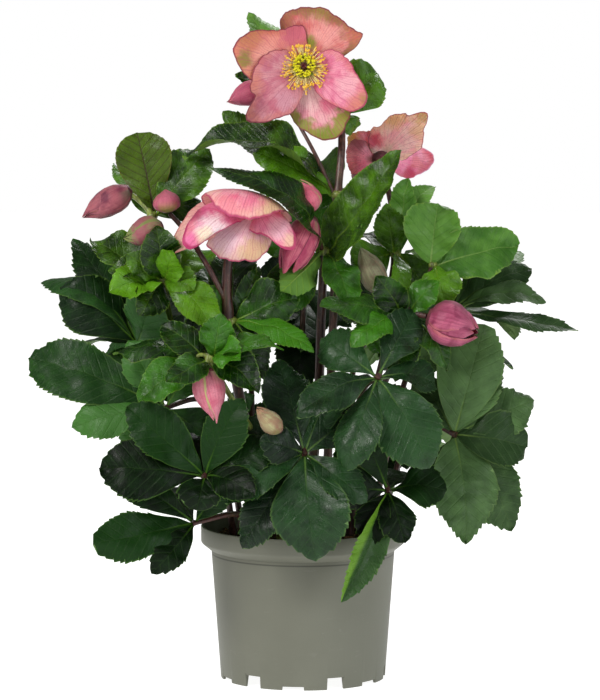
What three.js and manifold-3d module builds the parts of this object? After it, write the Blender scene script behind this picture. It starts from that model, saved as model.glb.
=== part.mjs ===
// Potted hellebore: a round plastic grower's pot, its soil, and a plant of branching flower stems,
// bracts, flowers, buds and compound leaves. Millimetres, +Z up. The origin is the middle of the
// pot's underside, and -Y is the side that the plant shows best.
import * as THREE from 'three';
import Module from 'manifold-3d';
import { mergeVertices } from 'three/addons/utils/BufferGeometryUtils.js';

const wasm = await Module();
wasm.setup();

// ---- Driving dimensions, mm ----

const pot = {
  footRadius: 60.5, // outside, at the ground
  bodyRadius: 67.5, // outside, just below the rim band
  rimRadius: 75,
  height: 112.5,
  bandHeight: 12, // upright part of the rim band
  chamfer: 5, // height of the slope under the band
  wall: 1.6,
  floorHeight: 9, // underside of the floor above the ground
  padRadius: 16, // flat moulding pad in the middle of the underside
  slots: 6, // drainage slots round the foot, with a shallow notch between each two
  slotHeight: 8.5,
  slotWidth: 13,
  notchHeight: 2.6,
  notchWidth: 16,
  firstSlot: -37, // degrees from the front, towards +X
  drainHole: 5, // radius of each hole in the floor
  drainCircle: 37.5, // radius at which those holes lie
};
const soil = {
  depth: 11, // from the rim down to the soil's edge
  dome: 4, // how far it rises in the middle
  shoulder: 45, // radius at which the dome starts to fall away
  shoulderRise: 2.4, // how far the soil has risen there
};
const potSides = 36;
const stemSides = 6;
const stalkSides = 5; // of branches, pedicels and petioles
const budSides = 8;
const centreSides = 10; // of the middle of a flower
const clearance = 0.3; // gap between pieces that touch
const petioleRadius = 2.1;
const leafThickness = 1.1;
const petalThickness = 1.0;
const sleeveWall = 1.8; // ring that joins the bracts of one whorl round their stem
const sleeveHeight = 6;

// Heights where the pot's outside changes slope, and the level of the soil's edge.
const bandFoot = pot.height - pot.bandHeight;
const slopeFoot = bandFoot - pot.chamfer;
const soilTop = pot.height - soil.depth;

// ---- Colours ----

const paint = {
  pot: { color: 0x70726a, roughness: 0.6 },
  soil: { color: 0x2b211a, roughness: 0.95 },
  leaf: { color: 0x27492a, roughness: 0.4 },
  bract: { color: 0x4f7f2c, roughness: 0.5 },
  stem: { color: 0x4b3335, roughness: 0.6 },
  greenStem: { color: 0x8a9a45, roughness: 0.55 },
  petal: { color: 0xcf8e9a, roughness: 0.6 },
  bud: { color: 0xc9748a, roughness: 0.6 },
  centre: { color: 0xd9c84a, roughness: 0.6 },
};

// ---- Solids and geometries ----

function toSolid(geometry) {
  const bare = geometry.index ? geometry.toNonIndexed() : geometry.clone();
  bare.deleteAttribute('normal');
  bare.deleteAttribute('uv');
  const merged = mergeVertices(bare, 1e-4);
  return new wasm.Manifold(new wasm.Mesh({
    numProp: 3,
    vertProperties: merged.attributes.position.array,
    triVerts: new Uint32Array(merged.index.array),
  }));
}

function toGeometry(solid) {
  const mesh = solid.getMesh();
  const geometry = new THREE.BufferGeometry();
  geometry.setAttribute('position', new THREE.BufferAttribute(mesh.vertProperties, 3));
  geometry.setIndex(new THREE.BufferAttribute(mesh.triVerts, 1));
  geometry.computeVertexNormals();
  return geometry;
}

function union(solids) {
  return solids.reduce((whole, solid) => whole.add(solid));
}

function largestBody(solid) {
  const bodies = solid.decompose();
  return bodies.reduce((best, body) => (body.volume() > best.volume() ? body : best));
}

const vec = (point) => new THREE.Vector3(...point);

// ---- Thin blades: leaflets, bracts and petals ----
//
// A blade runs from base to tip along a bowed midrib, and face is the way that its upper side looks.
// Its width follows widthAt(), its cross-section is thickest at the midrib and sharp at the edges, and
// fold and cup lift the edges.

const up = [0, -0.3, 1]; // faces of blades that lie nearly level
const front = [0, -1, 0.35]; // faces of blades that show their upper side to the front
const back = [0, 1, 0.4]; // and to the back

const leafletForm = { stations: [0, 0.26, 0.56, 0.83], across: [-1, 0, 1], peak: 1.15, power: 0.95 };
const petalForm = {
  stations: [0, 0.14, 0.36, 0.62, 0.85], across: [-1, -0.5, 0, 0.5, 1], peak: 1.25, power: 0.62,
};
const stalkHalfWidth = 0.8; // where a blade leaves its stalk
const hubReach = 1.4; // from the middle of a hub to where its leaflets start
const hubBeyond = 2; // how far the petiole runs past the middle of the hub

// Where a blade starts when it leaves a node at a distance from it, in a plane across an axis.
function stepOut(node, tip, distance, axis) {
  const outward = vec(tip).sub(vec(node));
  if (axis) outward.addScaledVector(axis, -outward.dot(axis));
  return vec(node).addScaledVector(outward.normalize(), distance).toArray();
}

function widthAt(form, u, width) {
  const swell = Math.sin(Math.PI * u ** form.peak) ** form.power;
  return Math.max((width / 2) * swell, stalkHalfWidth);
}

function bladeSolid({ base, tip, face, width, arch = 6, fold = 0.1, cup = 0, thickness, form }, grow = 0) {
  const [start, end] = [vec(base), vec(tip)];
  const up = vec(face).normalize();
  const along = end.clone().sub(start).normalize();
  const bow = up.clone().addScaledVector(along, -up.dot(along)).normalize();
  const middle = start.clone().add(end).multiplyScalar(0.5).addScaledVector(bow, 2 * arch);
  const midrib = new THREE.QuadraticBezierCurve3(start, middle, end);

  const rings = form.stations.map((u) => {
    const point = midrib.getPoint(u);
    const tangent = midrib.getTangent(u);
    const normal = bow.clone().addScaledVector(tangent, -bow.dot(tangent)).normalize();
    const side = normal.clone().cross(tangent);
    const half = widthAt(form, u, width);
    if (u === 0) point.addScaledVector(tangent, -grow);
    const place = (v, height) => point.clone()
      .addScaledVector(side, v * (half + grow))
      .addScaledVector(normal, (fold * Math.abs(v) + cup * v * v) * half + height);
    const halfThickness = (v) => (thickness / 2) * (1 - Math.abs(v)) + grow;
    const top = form.across.map((v) => place(v, halfThickness(v)));
    const underAcross = grow > 0 ? [...form.across] : form.across.slice(1, -1);
    const under = underAcross.reverse().map((v) => place(v, -halfThickness(v)));
    return [...top, ...under];
  });
  const endPoint = end.clone().addScaledVector(midrib.getTangent(1), grow);
  return toSolid(loft(rings, endPoint));
}

// A closed skin over a row of rings: the first is capped flat, and the last runs to one point.
function loft(rings, endPoint) {
  const count = rings[0].length;
  const points = [...rings.flat(), endPoint];
  const index = [];
  for (let i = 1; i < count - 1; i++) index.push(0, i, i + 1);
  for (let r = 0; r < rings.length - 1; r++) {
    for (let i = 0; i < count; i++) {
      const j = (i + 1) % count;
      const [a, b] = [r * count + i, r * count + j];
      index.push(a, a + count, b, b, a + count, b + count);
    }
  }
  const last = (rings.length - 1) * count;
  for (let i = 0; i < count; i++) index.push(last + i, points.length - 1, last + ((i + 1) % count));
  const geometry = new THREE.BufferGeometry().setFromPoints(points);
  geometry.setIndex(index);
  return geometry;
}

// ---- Stems and stalks ----

const tubeStep = 24; // between the rings of a stem

function tube(points, radius, grow, sides) {
  const path = points.map(vec);
  const steps = path.length > 2 ? Math.round(new THREE.CatmullRomCurve3(path).getLength() / tubeStep) + 1 : 1;
  const stretch = (end, next) => end.addScaledVector(end.clone().sub(next).normalize(), grow);
  stretch(path[0], path[1]);
  stretch(path.at(-1), path.at(-2));
  const reach = grow > 0 ? (radius + grow) / Math.cos(Math.PI / sides) : radius; // clears the flats too
  const outline = Array.from({ length: sides }, (_, i) => {
    const angle = (2 * Math.PI * i) / sides;
    return new THREE.Vector2(Math.cos(angle), Math.sin(angle)).multiplyScalar(reach);
  });
  return toSolid(new THREE.ExtrudeGeometry(new THREE.Shape(outline), {
    steps, extrudePath: new THREE.CatmullRomCurve3(path), bevelEnabled: false,
  }));
}

// A lathe-turned solid stood on base and pointing at tip.
function turned(profile, base, tip, segments) {
  const geometry = new THREE.LatheGeometry(profile.map(([r, h]) => new THREE.Vector2(r, h)), segments);
  const direction = vec(tip).sub(vec(base)).normalize();
  geometry.applyQuaternion(new THREE.Quaternion().setFromUnitVectors(new THREE.Vector3(0, 1, 0), direction));
  geometry.translate(...base);
  return toSolid(geometry);
}

// ---- The pot and its soil ----

// A solid of revolution round +Z, from points of radius and height.
function upright(profile) {
  const outline = profile.map(([radius, z]) => new THREE.Vector2(radius, z));
  return toSolid(new THREE.LatheGeometry(outline, potSides).rotateX(Math.PI / 2));
}

// Outside radius of the pot's tapered wall at a height.
function taperRadius(z) {
  return pot.footRadius + ((pot.bodyRadius - pot.footRadius) * z) / slopeFoot;
}

// The pot's inside, or a surface at an inset from its outside, from the floor up to a height.
function insideProfile(inset, floorTop, top) {
  return [
    [0, floorTop], [taperRadius(floorTop) - inset, floorTop], [pot.bodyRadius - inset, slopeFoot - 1],
    [pot.rimRadius - inset, bandFoot + 1], [pot.rimRadius - inset, top],
  ];
}

function potSolid() {
  const { footRadius, bodyRadius, rimRadius, padRadius, height, wall, floorHeight } = pot;
  let solid = upright([
    [0, 0], [padRadius, 0], [padRadius, floorHeight], [footRadius - 2 * wall, floorHeight],
    [footRadius - wall, 0], [footRadius, 0], [bodyRadius, slopeFoot - 1], [bodyRadius + 1.3, slopeFoot],
    [rimRadius, bandFoot], [rimRadius, height],
    ...insideProfile(wall, floorHeight + wall, height).reverse(),
  ]);
  for (let i = 0; i < pot.slots; i++) {
    const slotAngle = pot.firstSlot + (i * 360) / pot.slots;
    const notchAngle = slotAngle + 180 / pot.slots;
    solid = solid
      .subtract(footCut(slotAngle, pot.slotWidth, pot.slotHeight))
      .subtract(footCut(notchAngle, pot.notchWidth, pot.notchHeight))
      .subtract(drain(notchAngle));
  }
  return solid;
}

// A block that cuts through the foot ring, at an angle in degrees from the front towards +X.
function footCut(angle, width, height) {
  const depth = 12;
  const block = new THREE.BoxGeometry(width, depth, 2 * height);
  block.translate(0, pot.wall - pot.footRadius, 0);
  return toSolid(block.rotateZ(THREE.MathUtils.degToRad(angle)));
}

function drain(angle) {
  const hole = new THREE.CylinderGeometry(pot.drainHole, pot.drainHole, 4 * pot.wall, 8);
  hole.rotateX(Math.PI / 2).translate(0, -pot.drainCircle, pot.floorHeight + pot.wall / 2);
  return toSolid(hole.rotateZ(THREE.MathUtils.degToRad(angle)));
}

const soilInset = pot.wall + 2 * clearance; // from the pot's outside
const soilRadius = pot.rimRadius - soilInset; // at the soil's edge

function soilSolid() {
  return upright([
    ...insideProfile(soilInset, pot.floorHeight + pot.wall + clearance, soilTop),
    [soil.shoulder, soilTop + soil.shoulderRise], [0, soilTop + soil.dome],
  ]);
}

// Height of the soil's surface at a place.
function soilHeight(x, y) {
  const radius = Math.hypot(x, y);
  const { dome, shoulder, shoulderRise } = soil;
  if (radius < shoulder) return soilTop + dome - ((dome - shoulderRise) * radius) / shoulder;
  return soilTop + (shoulderRise * (soilRadius - radius)) / (soilRadius - shoulder);
}

// Where a stem or petiole that stands in the soil starts: just clear of the surface.
function standing([x, y]) {
  const slack = 0.6; // so that its slanting end clears the soil all round
  return [x, y, soilHeight(x, y) + clearance + slack];
}

// ---- Flower stems: each is one solid with its branches and pedicels ----

const stems = {
  stem_flower_a: {
    foot: [16, -8], radius: 3.1, look: paint.stem,
    path: [
      [20, -14, 219], [23, -24, 300], [25, -24, 355], [28, -12, 394], [26, -2, 420],
      [14, -3, 438], [4, -10, 446],
    ],
    branches: [
      { radius: 1.3, path: [[24, -24, 353], [11, -27, 382], [-1, -20, 404], [-13, -6, 423], [-27, 0, 434]] },
    ],
  },
  stem_bracts: {
    foot: [2, -2], radius: 3.7, look: paint.stem,
    path: [[11, -6, 203], [13, -10, 262], [15, -24, 315]],
    branches: [{ radius: 1.3, path: [[15, -24, 312], [11, -34, 329], [6, -42, 345]] }],
  },
  stem_flower_b: {
    foot: [-20, -14], radius: 3.9, look: paint.stem,
    path: [[-42, -34, 192], [-53, -50, 259], [-54, -54, 309], [-48, -52, 330], [-37, -50, 349]],
    branches: [{
      radius: 1.9,
      path: [[-53, -52, 277], [-65, -56, 302], [-76, -52, 320], [-86, -44, 334], [-96, -42, 345]],
    }],
  },
  stem_left: {
    foot: [-30, 0], radius: 2.4, look: paint.greenStem,
    path: [
      [-67, -26, 198], [-92, -46, 255], [-101, -44, 297], [-106, -36, 323], [-109, -32, 342],
      [-117, -28, 352], [-125, -26, 358],
    ],
    branches: [{ radius: 1.1, path: [[-108, -36, 332], [-105, -43, 337], [-101.5, -49, 336.3]] }],
  },
  stem_right: {
    foot: [34, 2], radius: 2.5, look: paint.stem,
    path: [[50, -8, 203], [59, -12, 241], [62, -4, 276], [67, 4, 312], [65, 12, 345], [57, 16, 379]],
    branches: [
      { radius: 2.2, path: [[50, -8, 200], [62, -30, 228], [66, -42, 255], [74, -46, 272], [89, -56, 272]] },
      { radius: 1.6, path: [[74, -46, 271], [85, -34, 287], [94, -24, 306]] },
      { radius: 1.2, path: [[62, -4, 275], [60, -22, 280], [57, -36, 288]] },
    ],
  },
  stem_low: {
    foot: [-16, -32], radius: 2.2, look: paint.greenStem,
    path: [[-32, -72, 182], [-53, -86, 220], [-68, -88, 247]],
    branches: [
      { radius: 1.3, path: [[-67, -89, 247], [-69, -92, 241]] },
      { radius: 1.2, path: [[-67, -88, 246], [-73, -90, 248], [-81, -92, 241]] },
      { radius: 1.2, path: [[-33, -72, 184], [-20, -92, 185], [-14, -98, 192]] },
    ],
  },
};

function stemSolid({ foot, path, radius, branches = [] }, grow = 0) {
  return union([
    tube([standing(foot), ...path], radius, grow, stemSides),
    ...branches.map((branch) => tube(branch.path, branch.radius, grow, stalkSides)),
  ]);
}

// ---- Flowers: a centre, and five petals that overlap like tiles ----

// lift is how far a petal starts above the lowest one, along the flower's axis. A petal without a face
// of its own opens towards the axis; those that hang show their outer side, as a bell does.
const hanging = [-0.1, -0.9, 0.35];
const flowers = {
  flower_a: {
    centre: [1, -16, 448], axis: [-0.05, -0.97, 0.24],
    petals: {
      top: { tip: [14, -26, 489], width: 60, arch: -3, cup: -0.05, lift: 0 },
      left: { tip: [-49, -32, 463], width: 44, arch: -3, cup: 0.05, lift: 1.3 },
      lower_left: { tip: [-43, -36, 416], width: 48, arch: -4, cup: -0.05, lift: 2.6 },
      bottom: { tip: [16, -30, 396], width: 46, arch: -4, cup: -0.05, lift: 0 },
      right: { tip: [47, -34, 426], width: 42, arch: -4, cup: 0.1, lift: 2.6 },
    },
  },
  flower_b: {
    centre: [-37, -54, 349], axis: [-0.25, -0.45, -0.86],
    petals: {
      hood: { tip: [-46, -100, 348], width: 60, arch: -14, cup: 0.2, lift: -1 },
      left: { tip: [-80, -86, 322], face: hanging, width: 46, arch: 9, cup: -0.25, lift: 0.5 },
      front: { tip: [-42, -77, 312], face: hanging, width: 54, arch: 8, cup: -0.25, lift: 2.2 },
      right: { tip: [-8, -86, 321], face: hanging, width: 44, arch: 9, cup: -0.25, lift: 0.5 },
      back: { tip: [-93, -58, 316], face: hanging, width: 34, arch: 8, cup: -0.1, lift: 2.2 },
    },
  },
  flower_c: {
    centre: [57, 20, 380], axis: [0.3, 0.93, -0.2],
    petals: {
      top: { tip: [90, 30, 412], width: 42, arch: -4, cup: 0.05, lift: 0 },
      upper_left: { tip: [35, 42, 400], width: 34, arch: -4, cup: 0.1, lift: 2.4 },
      left: { tip: [33, 34, 377], width: 34, arch: -4, cup: 0.1, lift: 1.2 },
      bottom: { tip: [47, 40, 357], width: 34, arch: -4, cup: 0.1, lift: 2.4 },
      right: { tip: [94, 44, 374], width: 36, arch: -4, cup: 0.1, lift: 1.2 },
    },
  },
};

const centreProfile = [[0, -4.5], [3.6, -4.5], [5, -1], [5.2, 4.2], [9, 8], [12, 14], [0, 15]];
const petalBaseRadius = 5.8; // from the flower's axis
const petalTilt = 0.3; // how far a petal's face leans in towards the axis

function centreSolid({ centre, axis }, grow = 0) {
  const profile = centreProfile.map(([r, h]) => [r > 0 ? r + grow : 0, h + Math.sign(h) * grow]);
  return turned(profile, centre, vec(centre).add(vec(axis)).toArray(), centreSides);
}

function petalRow(flower, petal) {
  const axis = vec(flower.axis).normalize();
  const outward = vec(petal.tip).sub(vec(flower.centre));
  outward.addScaledVector(axis, -outward.dot(axis)).normalize();
  const base = vec(flower.centre)
    .addScaledVector(outward, petalBaseRadius)
    .addScaledVector(axis, petal.lift);
  const face = axis.clone().addScaledVector(outward, -petalTilt).toArray();
  return { face, thickness: petalThickness, form: petalForm, ...petal, base: base.toArray() };
}

// ---- Buds ----

const buds = {
  bud_upper_left: { base: [-126, -25, 360], tip: [-158, -30, 342], girth: 22 },
  bud_left_young: { base: [-97, -42, 346], tip: [-99, -44, 362], girth: 17 },
  bud_left_nodding: { base: [-101, -50, 336], tip: [-128, -58, 329], girth: 21 },
  bud_behind_a: { base: [-29, 1, 434], tip: [-56, -4, 423], girth: 15 },
  bud_half_open: { base: [6, -44, 343], tip: [-12, -52, 302], girth: 24 },
  bud_centre_young: { base: [6, -43, 346], tip: [-2, -46, 369], girth: 19 },
  bud_right: { base: [90, -57, 272], tip: [125, -64, 261], girth: 29 },
  bud_mottled: { base: [57, -35, 287], tip: [42, -40, 319], girth: 17 },
  bud_hanging: { base: [-69, -93, 238], tip: [-62, -98, 200], girth: 21 },
  bud_low: { base: [-16, -99, 194], tip: [-33, -104, 212], girth: 16 },
};

const budSwell = [0.3, 0.85, 1, 0.8, 0.36]; // share of the girth, in equal steps from base to tip

function budSolid({ base, tip, girth }, grow = 0) {
  const length = vec(base).distanceTo(vec(tip));
  const profile = [[0, -grow], ...budSwell.map((share, i) => [
    (share * girth) / 2 + grow, clearance + ((length - clearance) * i) / budSwell.length + (i ? 0 : -grow),
  ]), [0, length + grow]];
  return turned(profile, base, tip, budSides);
}

// ---- Bract whorls: leafy bracts that clasp a flower stem at one node ----

const whorls = {
  bracts_under_a: {
    node: [26, -4, 415], along: [0, 0, 1], stemRadius: 3.1,
    bracts: [
      { tip: [-40, 16, 488], face: [0.3, -1, 0.2], width: 34, arch: 4 },
      { tip: [-49, 16, 439], face: [0, -0.6, 0.8], width: 24, arch: 4 },
      { tip: [56, -4, 446], face: [-0.3, -1, 0.2], width: 38, arch: 6 },
      { tip: [37, 62, 423], face: back, width: 30, arch: 6 },
      { tip: [50, 4, 402], face: front, width: 28, arch: 4 },
    ],
  },
  bracts_main: {
    node: [25, -24, 357], along: [0.02, 0, 1], stemRadius: 3.1,
    bracts: [
      { tip: [-58, -18, 418], face: [0.4, -0.9, 0.5], width: 34, arch: 3 },
      { tip: [-88, -34, 387], face: [0.25, -0.55, 0.9], width: 42, arch: 27 },
      { tip: [-36, -46, 388], face: [0, -0.7, 0.7], width: 36, arch: 7 },
      { tip: [51, 38, 338], face: up, width: 28, arch: 8 },
      { tip: [-10, 44, 376], face: [0.2, 0.4, 1], width: 28, arch: 8 },
      { tip: [12, 24, 375], face: front, width: 32, arch: 5 },
    ],
  },
  bracts_mid: {
    node: [15, -24, 316], along: [0.02, -0.1, 1], stemRadius: 3.7,
    bracts: [
      { tip: [73, -56, 388], face: [-0.5, -0.8, 0.3], width: 44, arch: 4, fold: 0.25 },
      { tip: [-66, -76, 381], face: [0.2, -0.75, 0.6], width: 35, arch: 30 },
      { tip: [-16, -60, 289], face: [0.3, 0.9, 0.3], width: 28, arch: -6 },
      { tip: [35, -58, 279], face: [0.3, -1, 0.2], width: 28, arch: 8 },
      { tip: [20, 52, 323], face: up, width: 32, arch: 10 },
      { tip: [-30, 10, 325], face: front, width: 34, arch: 6 },
      { tip: [-22, -34, 270], face: front, width: 36, arch: 6 },
      { tip: [46, 0, 262], face: [0.1, -0.8, 0.5], width: 34, arch: 7 },
      { tip: [14, 22, 354], face: front, width: 34, arch: 5 },
    ],
  },
  bracts_under_c: {
    node: [67, 4, 312], along: [0, 0, 1], stemRadius: 2.5,
    bracts: [
      { tip: [60, -18, 351], face: front, width: 24, arch: 3 },
      { tip: [76, 2, 368], face: [-0.4, -1, 0], width: 22, arch: 4 },
      { tip: [95, 10, 368], face: [-0.2, -0.7, 0.7], width: 19, arch: 8 },
      { tip: [67, -34, 282], face: [0.4, -1, 0.2], width: 18, arch: 6 },
      { tip: [36, -8, 299], face: front, width: 34, arch: 6 },
      { tip: [95, 14, 275], face: front, width: 30, arch: 6 },
      { tip: [80, 74, 325], face: up, width: 32, arch: 8 },
      { tip: [35, 60, 319], face: [-0.4, 0.3, 1], width: 26, arch: 8 },
    ],
  },
  bracts_right: {
    node: [74, -46, 272], along: [-0.3, -0.4, 1], stemRadius: 2.2,
    bracts: [
      { tip: [12, -74, 278], face: [0, -0.5, 0.9], width: 28, arch: 6 },
      { tip: [33, -84, 256], face: [-0.1, -0.8, 0.6], width: 24, arch: 6 },
      { tip: [75, -70, 248], face: front, width: 14, arch: 4 },
      { tip: [104, -62, 233], face: [0.2, -0.6, 0.8], width: 22, arch: 8 },
      { tip: [56, -20, 240], face: front, width: 30, arch: 5 },
      { tip: [52, -62, 302], face: front, width: 24, arch: 5 },
      { tip: [98, -54, 296], face: [0.1, -0.8, 0.6], width: 24, arch: 5 },
      { tip: [66, -66, 226], face: front, width: 26, arch: 6 },
    ],
  },
  bracts_far_right: {
    node: [94, -24, 306], along: [0.3, 0.3, 1], stemRadius: 1.6,
    bracts: [
      { tip: [98, -18, 350], face: front, width: 41, arch: 3 },
      { tip: [157, -14, 320], face: [-0.1, -0.85, 0.55], width: 40, arch: 7 },
      { tip: [103, -48, 278], face: [0, -0.9, 0.5], width: 32, arch: 6 },
      { tip: [124, 46, 313], face: [0.3, 0.2, 1], width: 32, arch: 8 },
      { tip: [83, 50, 309], face: [-0.2, 0.4, 1], width: 30, arch: 8 },
    ],
  },
  bracts_left: {
    node: [-101, -44, 297], along: [-0.2, 0, 1], stemRadius: 2.4,
    bracts: [
      { tip: [-153, -30, 322], face: [-0.1, -0.7, 0.7], width: 32, arch: 6 },
      { tip: [-138, -66, 290], face: [0, -0.9, 0.5], width: 28, arch: 8 },
      { tip: [-104, -66, 338], face: front, width: 30, arch: 4 },
      { tip: [-62, -78, 264], face: [0.1, -0.7, 0.7], width: 34, arch: 8 },
      { tip: [-106, 30, 301], face: [0, 0.3, 1], width: 32, arch: 8 },
      { tip: [-141, 22, 298], face: [-0.3, 0.2, 1], width: 30, arch: 8 },
      { tip: [-75, -8, 316], face: front, width: 34, arch: 6 },
      { tip: [-92, -70, 322], face: front, width: 24, arch: 4 },
      { tip: [-126, -66, 318], face: [-0.2, -0.9, 0.3], width: 24, arch: 5 },
      { tip: [-140, -58, 306], face: [-0.1, -0.7, 0.7], width: 22, arch: 6 },
      { tip: [-116, -72, 274], face: [0, -0.9, 0.4], width: 26, arch: 6 },
      { tip: [-78, -66, 292], face: [0.1, -0.8, 0.5], width: 24, arch: 5 },
    ],
  },
  bracts_upper_left: {
    node: [-109, -32, 342], along: [-0.3, 0, 1], stemRadius: 2.4,
    bracts: [
      { tip: [-120, -24, 402], face: front, width: 40, arch: 3 },
      { tip: [-67, -26, 391], face: [-0.2, -1, 0.2], width: 38, arch: 4 },
      { tip: [-113, 24, 379], face: [0, 0.6, 0.8], width: 30, arch: 6 },
      { tip: [-74, -22, 352], face: front, width: 22, arch: 4 },
      { tip: [-138, 30, 376], face: [-0.3, 0.3, 0.9], width: 26, arch: 6 },
    ],
  },
  bracts_under_b: {
    node: [-53, -51, 268], along: [-0.05, -0.05, 1], stemRadius: 3.9,
    bracts: [
      { tip: [9, -82, 251], face: [0, -0.6, 0.8], width: 22, arch: 8 },
      { tip: [-2, -54, 285], face: [-0.2, -0.9, 0.5], width: 34, arch: 6 },
      { tip: [-30, -40, 308], face: front, width: 14, arch: 3 },
      { tip: [-79, 10, 303], face: up, width: 28, arch: 8 },
      { tip: [-39, 26, 281], face: [0, 0.3, 1], width: 32, arch: 10 },
      { tip: [-47, -14, 323], face: front, width: 36, arch: 5 },
      { tip: [-88, -14, 255], face: [-0.2, -0.7, 0.7], width: 34, arch: 7 },
      { tip: [-84, -62, 290], face: [0, -0.9, 0.5], width: 30, arch: 6 },
      { tip: [-82, -60, 246], face: [-0.1, -0.9, 0.4], width: 30, arch: 7 },
      { tip: [-30, -62, 228], face: [0.1, -0.9, 0.4], width: 30, arch: 7 },
    ],
  },
  bracts_low: {
    node: [-66, -88, 245], along: [-0.35, -0.1, 1], stemRadius: 2.2,
    bracts: [
      { tip: [-30, -112, 224], face: [0.1, -0.9, 0.5], width: 28, arch: 6 },
      { tip: [-118, -100, 216], face: [-0.1, -0.9, 0.5], width: 28, arch: 8 },
      { tip: [-136, -78, 248], face: [-0.1, -0.6, 0.8], width: 28, arch: 8 },
      { tip: [-13, -102, 255], face: [0, -0.7, 0.7], width: 28, arch: 8 },
      { tip: [-89, -40, 258], face: [-0.2, -0.2, 1], width: 28, arch: 8 },
      { tip: [-96, -112, 230], face: [0, -0.9, 0.4], width: 24, arch: 6 },
      { tip: [-44, -114, 246], face: [0.1, -0.7, 0.7], width: 22, arch: 5 },
      { tip: [-102, -84, 270], face: [-0.1, -0.8, 0.6], width: 26, arch: 6 },
      { tip: [-58, -96, 278], face: front, width: 26, arch: 5 },
    ],
  },
};

function whorlSolid({ node, along, stemRadius, bracts }, grow = 0) {
  const axis = vec(along).normalize();
  const half = axis.clone().multiplyScalar(sleeveHeight / 2);
  const ends = [vec(node).sub(half).toArray(), vec(node).add(half).toArray()];
  const sleeve = tube(ends, stemRadius + sleeveWall, grow, stemSides);
  const blades = bracts.map((bract) => bladeSolid({
    base: stepOut(node, bract.tip, stemRadius + 2 * clearance, axis),
    thickness: leafThickness, form: leafletForm, ...bract,
  }, grow));
  return union([sleeve, ...blades]);
}

// ---- Basal leaves: a petiole from the soil, and leaflets from its top ----

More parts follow.
